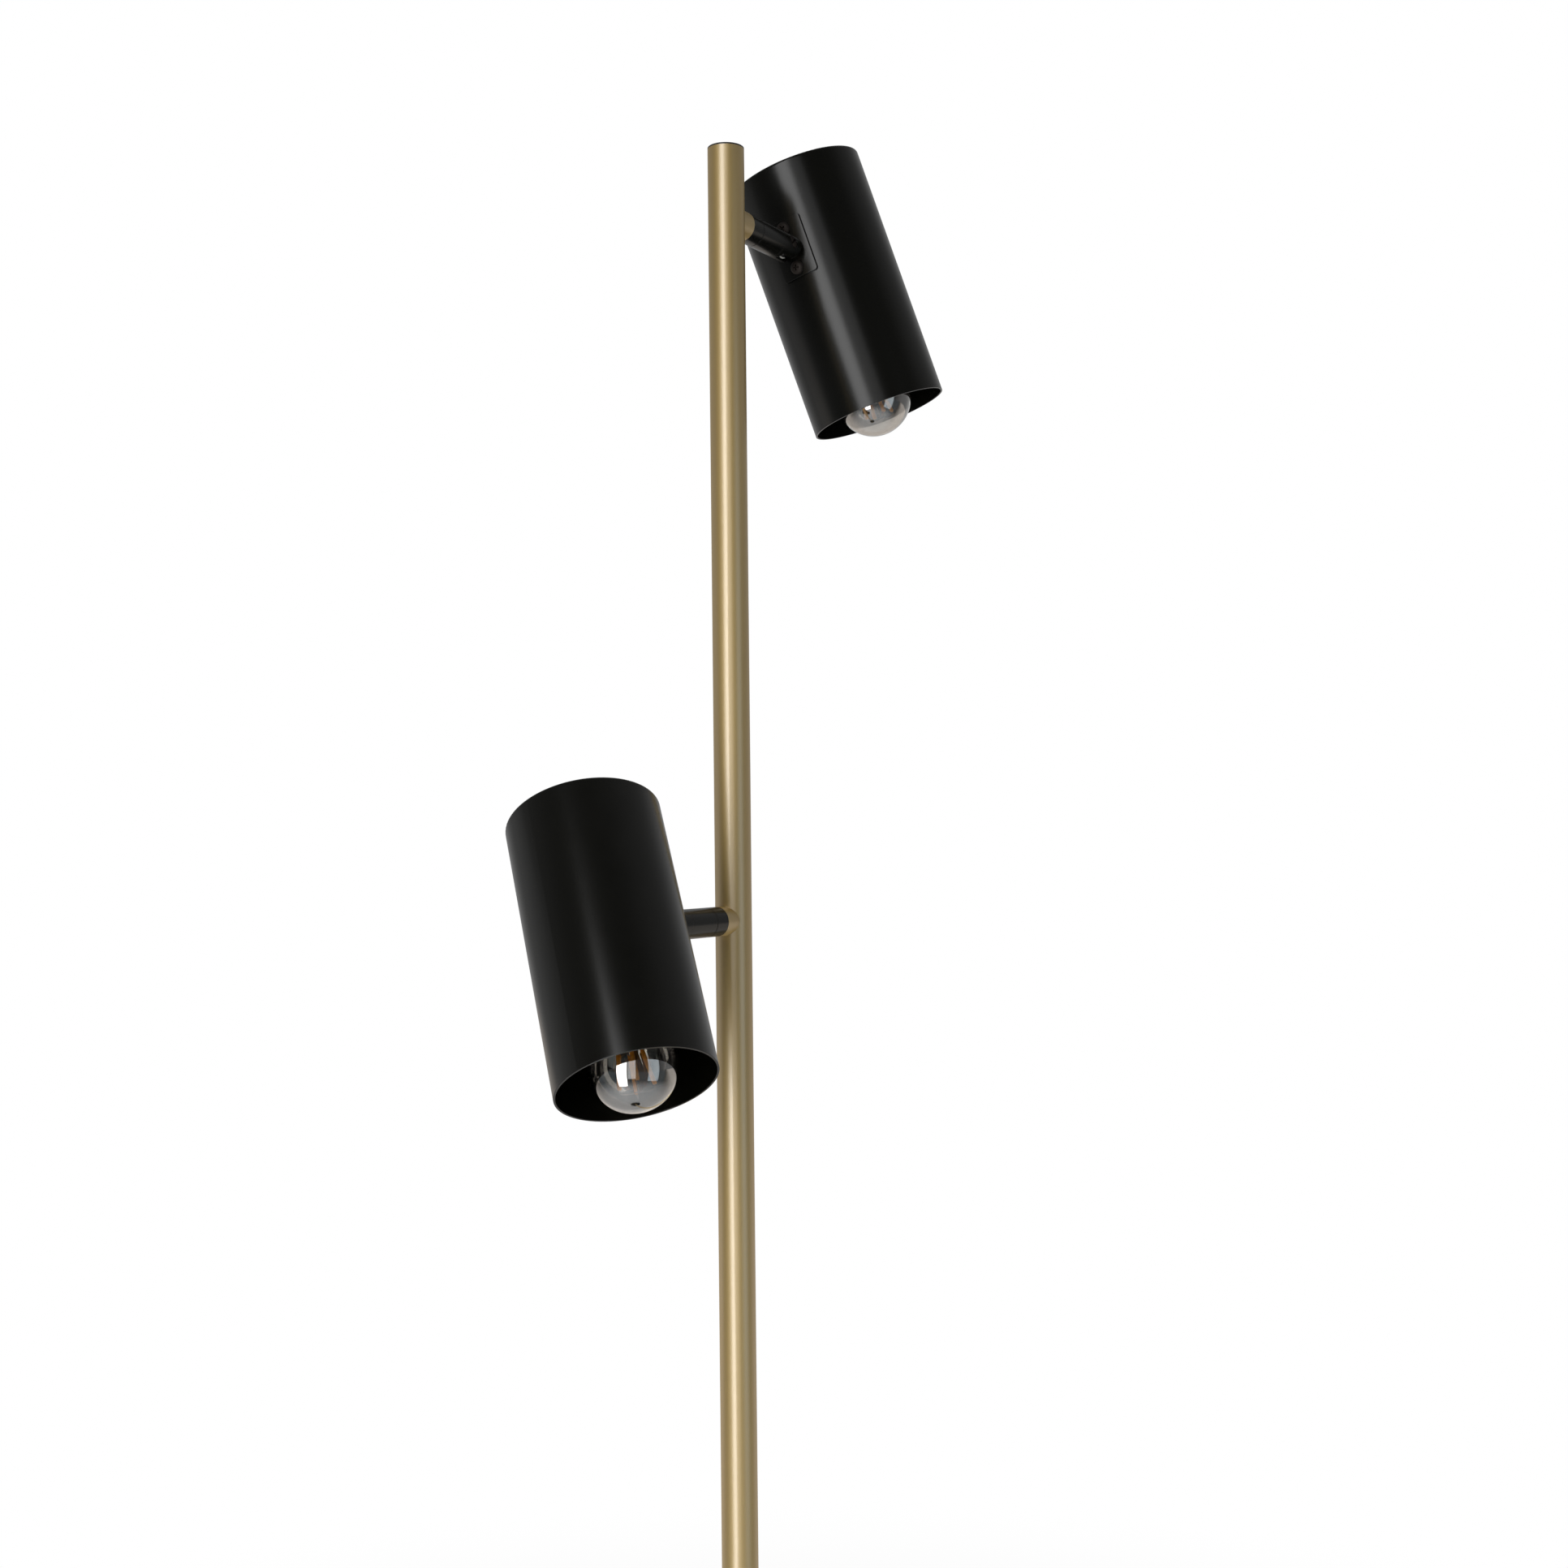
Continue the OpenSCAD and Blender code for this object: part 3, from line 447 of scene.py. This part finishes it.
FINISHES["white_nylon"] = finish(
    "white_nylon", [(0.70, 0.68, 0.62), (0.80, 0.78, 0.73)], (0.35, 0.48), grain=800.0,
    cloud=80.0, worn=(0.86, 0.85, 0.82), wear=0.3)
FINISHES["lead_sleeve"] = finish(
    "lead_sleeve", [(0.62, 0.60, 0.55), (0.70, 0.68, 0.64)], (0.45, 0.6), grain=900.0,
    cloud=20.0, worn=(0.74, 0.72, 0.68), wear=0.2)
FINISHES["nickel_cap"] = finish(
    "nickel_cap", [(0.58, 0.55, 0.49), (0.68, 0.65, 0.59)], (0.20, 0.32), metal=1.0,
    grain=600.0, cloud=90.0, worn=(0.80, 0.77, 0.71))
FINISHES["filament_phosphor"] = finish(
    "filament_phosphor", [(0.95, 0.33, 0.012), (1.0, 0.46, 0.03)], (0.45, 0.6),
    grain=2200.0, cloud=240.0, bump=0.4, worn=(0.90, 0.55, 0.12), wear=0.3, dust=0.0)

# %% [markdown]
# ## Clear glass
# Blown glass is nearly flawless, so what shows is its thickness and a faint wave in its surface.
# The wave is a very low bump, and the bulb has a real inner wall. A clear coat with a high index
# makes the glass mirror the lamps as strongly as the bulbs in the photograph do.

# %% Make the glass
glass = bpy.data.materials.new("clear_glass")
glass.use_nodes = True
tree = glass.node_tree
shader = tree.nodes["Principled BSDF"]
clouds = use_group(tree, CLOUDY_TONE, {"Scale": 45.0, "Contrast": 0.3})
grains = use_group(tree, FINE_GRAIN, {"Stretch": (1, 1, 1), "Scale": 30.0})
tint = mixed_colour(tree, clouds["Tone"], (0.82, 0.79, 0.74, 1.0), (0.86, 0.83, 0.79, 1.0))
rough = remap(tree, clouds["Tone"], 0.0, 1.0, 0.0, 0.02)
wave = add(tree, "Bump", {"Height": grains["Grain"], "Strength": 0.02, "Distance": 0.0004})
tree.links.new(tint, shader.inputs["Base Color"])
tree.links.new(rough, shader.inputs["Roughness"])
tree.links.new(wave.outputs["Normal"], shader.inputs["Normal"])
shader.inputs["Transmission Weight"].default_value = 1.0
shader.inputs["IOR"].default_value = 1.5
shader.inputs["Coat Weight"].default_value = 1.0
shader.inputs["Coat Roughness"].default_value = 0.01
shader.inputs["Coat IOR"].default_value = 3.0
FINISHES["clear_glass"] = glass
print("finishes:", sorted(FINISHES))

# %% [markdown]
# ## Dress the solids
# The solid model's record names a finish for every node, so one loop gives each its material.

# %% Give every solid its finish
for part in frame["record"]["subparts"]:
    solid = frame["nodes"][part["node"]]
    for material_slot in solid.material_slots:
        material_slot.material = FINISHES[part["material_slot"]]
    if not solid.material_slots:
        solid.data.materials.append(FINISHES[part["material_slot"]])
print("dressed", len(frame["nodes"]), "solids")

# %% [markdown]
# ## Tools for new pieces
# Most small pieces here are round, so the main tool is a lathe made by hand: a circle is added,
# extruded to the next height and scaled to the next radius, over and over. A second tool puts a
# finished piece in its place and leaves its object at the origin, and a third names it, smooths
# it, gives it its finish, hangs it on its body and hides the solids that it replaces.

# %% Lathe and hand-in
def start_clean():
    if bpy.context.mode != "OBJECT":
        bpy.ops.object.mode_set(mode="OBJECT")
    bpy.ops.object.select_all(action="DESELECT")


def turned(name, profile, sides=64, solid=True):
    """Lathe from (radius, height) pairs in mm; a last radius of 0 closes the end."""
    start_clean()
    radius, height = profile[0]
    bpy.ops.mesh.primitive_circle_add(vertices=sides, radius=radius * MM,
                                      fill_type="NGON" if solid else "NOTHING",
                                      location=(0, 0, height * MM))
    piece = bpy.context.object
    piece.name = name
    bpy.ops.object.transform_apply(location=True, rotation=True, scale=True)
    bpy.ops.object.mode_set(mode="EDIT")
    bpy.ops.mesh.select_all(action="SELECT")
    for next_radius, next_height in profile[1:]:
        rise = (next_height - height) * MM
        bpy.ops.mesh.extrude_region_move(TRANSFORM_OT_translate={"value": (0, 0, rise)})
        if next_radius == 0:
            bpy.ops.mesh.merge(type="CENTER")
        elif next_radius != radius:
            share = next_radius / radius
            bpy.ops.transform.resize(value=(share, share, 1),
                                     center_override=(0, 0, next_height * MM))
        radius, height = next_radius, next_height
    bpy.ops.mesh.select_all(action="SELECT")
    bpy.ops.mesh.remove_doubles(threshold=0.000001)
    bpy.ops.mesh.normals_make_consistent(inside=False)
    bpy.ops.object.mode_set(mode="OBJECT")
    return piece


def apply_modifier(piece, kind, **settings):
    start_clean()
    piece.select_set(True)
    bpy.context.view_layer.objects.active = piece
    modifier = piece.modifiers.new(kind.title(), kind)
    for name, value in settings.items():
        setattr(modifier, name, value)
    bpy.ops.object.modifier_apply(modifier=modifier.name)


def edit_points(piece, test):
    """Enter edit mode with only the points selected that pass the test."""
    start_clean()
    bpy.context.view_layer.objects.active = piece
    bpy.ops.object.mode_set(mode="EDIT")
    bpy.ops.mesh.select_mode(type="VERT")
    bpy.ops.mesh.select_all(action="DESELECT")
    bpy.ops.object.mode_set(mode="OBJECT")
    for vertex in piece.data.vertices:
        vertex.select = test(vertex.co)
    bpy.ops.object.mode_set(mode="EDIT")


def put(piece, place):
    """Move a piece to its place and bake that into its mesh."""
    start_clean()
    piece.matrix_world = place
    piece.select_set(True)
    bpy.context.view_layer.objects.active = piece
    bpy.ops.object.transform_apply(location=True, rotation=True, scale=True)
    return piece


def joined(name, pieces):
    start_clean()
    for piece in pieces:
        piece.select_set(True)
    bpy.context.view_layer.objects.active = pieces[0]
    if len(pieces) > 1:
        bpy.ops.object.join()
    pieces[0].name = name
    return pieces[0]


def hand_in(piece, name, body, slot, smooth=35.0, replaced=()):
    start_clean()
    piece.select_set(True)
    bpy.context.view_layer.objects.active = piece
    bpy.ops.object.shade_smooth_by_angle(angle=math.radians(smooth))
    piece.name = name
    piece.data.name = name
    piece.data.materials.clear()
    piece.data.materials.append(FINISHES[slot])
    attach(piece, body)
    if replaced:
        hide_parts(*replaced)
    print(name, "has", len(piece.data.polygons), "faces")
    return piece


# %% [markdown]
# ## The bulb's glass
# The bulb is a blown globe that runs through a soft shoulder into a straight neck. On a lathe
# that is one profile: a straight neck, an arc that curves the other way, and then the globe down
# to its tip. A Solidify modifier then gives the shell its wall, so light bends twice in it.

# %% Turn the glass
NECK_R = 6.6
SHOULDER_R = 14.0
NECK_TOP, NECK_FOOT = 59.0, 56.0
GLASS_WALL = 0.8
SHOULDER_STEPS, GLOBE_STEPS = 10, 36
shoulder_x = NECK_R + SHOULDER_R
shoulder_z = GLOBE_R + math.sqrt((GLOBE_R + SHOULDER_R) ** 2 - shoulder_x ** 2)
join_angle = math.atan2(shoulder_z - GLOBE_R, shoulder_x)
glass_profile = [(NECK_R, NECK_TOP), (NECK_R, NECK_FOOT)]
for step in range(SHOULDER_STEPS + 1):
    angle = join_angle * step / SHOULDER_STEPS
    glass_profile.append((shoulder_x - SHOULDER_R * math.cos(angle),
                          shoulder_z - SHOULDER_R * math.sin(angle)))
for step in range(1, GLOBE_STEPS):
    angle = join_angle - (join_angle + math.pi / 2) * step / GLOBE_STEPS
    glass_profile.append((GLOBE_R * math.cos(angle), GLOBE_R + GLOBE_R * math.sin(angle)))
glass_profile.append((0, 0.0))
for spot in SPOTS:
    globe = turned("globe", glass_profile, sides=96, solid=False)
    apply_modifier(globe, "SOLIDIFY", thickness=GLASS_WALL * MM, offset=-1.0)
    hand_in(put(globe, bulb_place(spot)), spot + "_globe", spot + "_head", "clear_glass",
            smooth=60.0, replaced=[spot + "_bulb_glass"])

# %% [markdown]
# ## Wires
# Thin wires are easiest as a line with a round section: one point is extruded along the route,
# the line becomes a curve, and the curve's bevel gives it its thickness before it turns back
# into a mesh.

# %% Wire tool
def wire(name, route, thick, rings=3):
    """A round wire through points given in mm."""
    start_clean()
    bpy.ops.mesh.primitive_plane_add(size=MM, location=[c * MM for c in route[0]])
    piece = bpy.context.object
    piece.name = name
    bpy.ops.object.transform_apply(location=True, rotation=True, scale=True)
    bpy.ops.object.mode_set(mode="EDIT")
    bpy.ops.mesh.select_all(action="SELECT")
    bpy.ops.mesh.merge(type="CENTER")
    for here, there in zip(route, route[1:]):
        step = tuple((b - a) * MM for a, b in zip(here, there))
        bpy.ops.mesh.extrude_region_move(TRANSFORM_OT_translate={"value": step})
    bpy.ops.object.mode_set(mode="OBJECT")
    bpy.ops.object.convert(target="CURVE")
    piece = bpy.context.object
    piece.data.bevel_depth = thick * MM / 2
    piece.data.bevel_resolution = rings
    piece.data.use_fill_caps = True
    bpy.ops.object.convert(target="MESH")
    return bpy.context.object


# %% [markdown]
# ## Inside the bulb
# Four rods coated with phosphor stand in a cage. Their tops are welded to wires that come out of
# the glass stem, and their feet meet on a small wire star that hangs below the stem. In the
# photograph the star and the feet of the rods are what shows at the mouth of the lower spot.

# %% Filament cage
ROD_FOOT_R, ROD_TOP_R = 8.5, 5.0
ROD_FOOT_Z, ROD_TOP_Z = 11.5, 35.5
ROD_R = 1.1
STAR_Z = 9.0
STEM_FOOT_Z = 28.2
HANGER_D, WIRE_D = 0.5, 0.45


def rod_place(quarter):
    foot = Vector((ROD_FOOT_R, 0, ROD_FOOT_Z)) * MM
    top = Vector((ROD_TOP_R, 0, ROD_TOP_Z)) * MM
    lean = (top - foot).to_track_quat("Z", "Y").to_matrix().to_4x4()
    return turned_by("Z", 45 + 90 * quarter) @ Matrix.Translation(foot) @ lean


def on_quarter(quarter, radius, height):
    angle = math.radians(45 + 90 * quarter)
    return (radius * math.cos(angle), radius * math.sin(angle), height)


rod_length = math.hypot(ROD_FOOT_R - ROD_TOP_R, ROD_TOP_Z - ROD_FOOT_Z)
rod_end = [(0.50, 0.0), (0.86, 0.14), (1.04, 0.42), (ROD_R, 0.85)]
rod_profile = rod_end + [(radius, rod_length - rise) for radius, rise in reversed(rod_end)]
for spot in SPOTS:
    rods = [put(turned("rod", rod_profile, sides=16), rod_place(q)) for q in range(4)]
    rods = put(joined("rods", rods), bulb_place(spot))
    hand_in(rods, spot + "_filament_rods", spot + "_head", "filament_phosphor",
            replaced=[spot + "_filaments"])
    wires = [wire("hanger", [(0, 0, STEM_FOOT_Z + 4), (0, 0, STAR_Z)], HANGER_D)]
    for quarter in range(4):
        wires.append(wire("star", [
            (0, 0, STAR_Z), on_quarter(quarter, 3.0, STAR_Z - 0.4),
            on_quarter(quarter, 6.4, STAR_Z - 0.2), on_quarter(quarter, ROD_FOOT_R, STAR_Z + 0.6),
            on_quarter(quarter, ROD_FOOT_R, ROD_FOOT_Z + 0.6)], WIRE_D))
        wires.append(wire("feeder", [
            on_quarter(quarter, 1.2, 34.5), on_quarter(quarter, 2.6, 36.6),
            on_quarter(quarter, ROD_TOP_R, 37.0), on_quarter(quarter, ROD_TOP_R, ROD_TOP_Z - 0.5)],
            WIRE_D))
    wires = put(joined("wires", wires), bulb_place(spot))
    hand_in(wires, spot + "_cage_wires", spot + "_head", "nickel_cap")

# %% [markdown]
# ## Glass stem
# A solid glass stem holds the wires. It flares at its top, where it was melted into the neck,
# and ends in a rounded foot.

# %% Turn the stem
stem_profile = [(5.3, 58.0), (5.2, 57.2), (4.1, 54.5), (3.0, 51.8), (2.3, 49.6), (2.0, 48.0),
                (2.0, 38.0), (2.3, 36.0), (2.3, 33.0), (2.0, 31.0), (1.8, 29.4), (1.2, 28.5),
                (0, STEM_FOOT_Z)]
for spot in SPOTS:
    stem = turned("stem", stem_profile, sides=32)
    hand_in(put(stem, bulb_place(spot)), spot + "_stem", spot + "_head", "clear_glass",
            smooth=60.0, replaced=[spot + "_bulb_stem"])

# %% [markdown]
# ## Threads
# A thread is one small tooth swept round and up. The tooth comes from a circle with few corners:
# its inner corners are deleted, what is left is squeezed to the thread's depth, and a Screw
# modifier sweeps it. A round tooth gives the rolled thread of a bulb's cap, a pointed one the
# thread of a screw.

# %% Thread tool
def thread(name, root, depth, pitch, bottom, turns, corners=4, steps=32):
    """A swept thread in mm, with its ends left open."""
    start_clean()
    bpy.ops.mesh.primitive_circle_add(vertices=corners, radius=pitch * MM / 2,
                                      rotation=(math.pi / 2, 0, 0),
                                      location=(root * MM, 0, (bottom + pitch / 2) * MM))
    piece = bpy.context.object
    piece.name = name
    bpy.ops.object.transform_apply(location=True, rotation=True, scale=True)
    edit_points(piece, lambda point: point.x < (root - 0.01) * MM)
    bpy.ops.mesh.delete(type="VERT")
    bpy.ops.mesh.select_all(action="SELECT")
    bpy.ops.transform.resize(value=(2 * depth / pitch, 1, 1),
                             center_override=(root * MM, 0, 0))
    bpy.ops.object.mode_set(mode="OBJECT")
    apply_modifier(piece, "SCREW", axis="Z", angle=2 * math.pi, screw_offset=pitch * MM,
                   iterations=turns, steps=steps, render_steps=steps,
                   use_merge_vertices=True, merge_threshold=0.000002)
    return piece


def closed_ends(piece):
    """Fill the two open ends of a swept thread."""
    bpy.context.view_layer.objects.active = piece
    bpy.ops.object.mode_set(mode="EDIT")
    bpy.ops.mesh.select_all(action="SELECT")
    bpy.ops.mesh.remove_doubles(threshold=0.000002)
    bpy.ops.mesh.select_all(action="DESELECT")
    bpy.ops.mesh.select_non_manifold()
    bpy.ops.mesh.fill_holes(sides=0)
    bpy.ops.mesh.select_all(action="SELECT")
    bpy.ops.mesh.normals_make_consistent(inside=False)
    bpy.ops.object.mode_set(mode="OBJECT")
    return piece


print("thread tools are ready")

# %% [markdown]
# ## The bulb's cap
# The cap is thin rolled metal with a coarse round thread, a black glass insulator and a solder
# contact on top. It sits in the holder, so little of it shows, but it is what makes the bulb fit.

# %% Roll and fill the cap
CAP_METAL = 0.25
skirt_profile = [(6.62, 56.0), (6.9, 56.0), (6.9, 57.9), (6.62, 57.9), (6.62, 56.0)]
crown_profile = [(6.2, 69.6), (6.55, 69.7), (6.55, 70.6), (6.3, 71.0), (5.9, 71.0)]
insulator_profile = [(6.2, 71.0), (5.9, 72.2), (4.8, 74.4), (3.4, 76.2), (2.2, 76.4)]
contact_profile = [(2.4, 76.4), (2.4, 77.1), (2.0, 77.6), (1.1, 77.9), (0, 78.0)]
for spot in SPOTS:
    shell = thread("shell", root=6.25, depth=0.68, pitch=2.82, bottom=57.4, turns=4,
                   corners=16, steps=48)
    apply_modifier(shell, "SOLIDIFY", thickness=CAP_METAL * MM, offset=-1.0)
    skirt = turned("skirt", skirt_profile, solid=False)
    crown = turned("crown", crown_profile)
    shell = put(joined("cap", [shell, skirt, crown]), bulb_place(spot))
    hand_in(shell, spot + "_screw_cap", spot + "_head", "nickel_cap",
            replaced=[spot + "_bulb_cap"])
    insulator = turned("insulator", insulator_profile, sides=48)
    hand_in(put(insulator, bulb_place(spot)), spot + "_cap_insulator", spot + "_head",
            "black_plastic")
    contact = turned("contact", contact_profile, sides=32)
    hand_in(put(contact, bulb_place(spot)), spot + "_cap_contact", spot + "_head", "nickel_cap")

# %% [markdown]
# ## Plate screws
# The shade's plate is held by two small pan-head screws with a cross recess. The head is turned,
# and the cross is cut by two tapered wedges with a Boolean, because a real recess narrows as it
# goes down. The screw of the upper spot catches the light in the photograph.

# %% Cross-head screw
CUTTER_TOP = 2.8   # a cutter starts a little above the screw's head
FINE_PITCH = 0.7


def wedge(name, length, width, deep, top):
    """A cutter that narrows downwards, for one arm of a recess."""
    start_clean()
    bpy.ops.mesh.primitive_cube_add(size=1, location=(0, 0, (top - deep / 2) * MM))
    piece = bpy.context.object
    piece.name = name
    piece.scale = (length * MM, width * MM, deep * MM)
    bpy.ops.object.transform_apply(location=True, rotation=True, scale=True)
    edit_points(piece, lambda point: point.z < (top - deep / 2) * MM)
    bpy.ops.transform.resize(value=(0.5, 0.75, 1),
                             center_override=(0, 0, (top - deep) * MM))
    bpy.ops.object.mode_set(mode="OBJECT")
    return piece


def cut(piece, cutter):
    apply_modifier(piece, "BOOLEAN", operation="DIFFERENCE", object=cutter, solver="EXACT")
    bpy.data.objects.remove(cutter)
    return piece


def cross_screw(name):
    head = turned("head", [(3.75, 0.0), (3.9, 0.15), (3.9, 0.75), (3.78, 1.2), (3.4, 1.7),
                           (2.7, 2.1), (1.7, 2.34), (0, 2.4)], sides=48)
    for quarter in (0, 90):
        cutter = put(wedge("wedge", length=4.5, width=0.85, deep=1.8, top=CUTTER_TOP),
                     turned_by("Z", quarter))
        cut(head, cutter)
    shank = closed_ends(thread("shank", root=1.6, depth=0.36, pitch=FINE_PITCH, bottom=-5.6,
                               turns=8, steps=20))
    return joined(name, [head, shank])


PLATE_FACE_X = 9.95    # from the tilt axis to the plate's face
PLATE_SCREW_Z = 11.8   # half the distance between the two screws
SCREW_REST = 20        # a driver leaves each recess a little turned
for spot in SPOTS:
    screws = []
    for side in (-1, 1):
        place = (head_place(spot) @ moved_by(PLATE_FACE_X, 0, side * PLATE_SCREW_Z)
                 @ turned_by("Y", -90) @ turned_by("Z", SCREW_REST * side))
        screws.append(put(cross_screw("plate_screw"), place))
    hand_in(joined("plate_screws", screws), spot + "_cross_screws", spot + "_head",
            "black_steel", replaced=[spot + "_plate_screws"])

# %% [markdown]
# ## Tilt screw and nut
# One slotted screw crosses the fork and clamps it on the tongue with a nut that sits in a
# hexagonal pocket. The nut's corners are turned off, which is what makes a hexagon look like a
# nut: the hexagon is cut to the part that it shares with a turned double cone.

# %% Slotted screw and nuts
SLOT_TURN = 35
SCREW_SEAT, NUT_SEAT = 5.3, 5.35   # from the arm's axis out to the head and to the nut
HOLDER_NUT_Z = -15.45              # from the tilt axis to the lampholder's nut


def slotted_screw(name):
    head = turned("head", [(3.3, 0.0), (3.5, 0.2), (3.5, 1.9), (3.2, 2.3), (2.6, 2.4), (0, 2.4)],
                  sides=48)
    cutter = put(wedge("wedge", length=16.0, width=1.2, deep=1.6, top=CUTTER_TOP),
                 turned_by("Z", SLOT_TURN))
    cut(head, cutter)
    neck = turned("neck", [(1.9, 0.1), (1.9, -8.1)], sides=32)
    shank = closed_ends(thread("shank", root=1.65, depth=0.33, pitch=FINE_PITCH, bottom=-13.1,
                               turns=7, steps=24))
    return joined(name, [head, neck, shank])


def hex_nut(name, across, height, bore):
    """A nut by its width across flats, its height and its bore's radius, in mm."""
    corner = across / math.sqrt(3)
    start_clean()
    bpy.ops.mesh.primitive_cylinder_add(vertices=6, radius=corner * MM, depth=height * MM,
                                        location=(0, 0, height / 2 * MM))
    nut = bpy.context.object
    nut.name = name
    bpy.ops.object.transform_apply(location=True, rotation=True, scale=True)
    flat = across / 2 * 0.97
    edge = (corner - flat) * 0.55
    lens = turned("lens", [(flat, 0.0), (corner + 0.05, edge), (corner + 0.05, height - edge),
                           (flat, height)], sides=64)
    apply_modifier(nut, "BOOLEAN", operation="INTERSECT", object=lens, solver="EXACT")
    bpy.data.objects.remove(lens)
    drill = turned("drill", [(bore + 0.35, -0.01), (bore, 0.34), (bore, height - 0.34),
                             (bore + 0.35, height + 0.01)], sides=48)
    return cut(nut, drill)


for spot in SPOTS:
    screw = slotted_screw("tilt_screw")
    place = arm_place(spot) @ turned_by("X", 90) @ moved_by(0, 0, SCREW_SEAT)
    hand_in(put(screw, place), spot + "_slotted_screw", spot + "_arm", "black_steel",
            replaced=[spot + "_tilt_screw"])
    nut = hex_nut("tilt_nut", across=7.0, height=2.5, bore=2.05)
    place = arm_place(spot) @ turned_by("X", -90) @ moved_by(0, 0, NUT_SEAT)
    hand_in(put(nut, place), spot + "_fork_nut", spot + "_arm", "black_steel",
            replaced=[spot + "_tilt_nut"])
    nut = hex_nut("holder_nut", across=14.0, height=3.0, bore=5.05)
    place = head_place(spot) @ moved_by(SHADE_AXIS_X, 0, HOLDER_NUT_Z)
    hand_in(put(nut, place), spot + "_holder_ring_nut", spot + "_head", "plated_steel",
            replaced=[spot + "_holder_nut"])
nut = hex_nut("foot_nut", across=17.0, height=6.0, bore=5.05)
low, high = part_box("base_nut")
hand_in(put(nut, moved_by(0, 0, low.z / MM)), "foot_hex_nut", "stand", "plated_steel",
        replaced=["base_nut"])
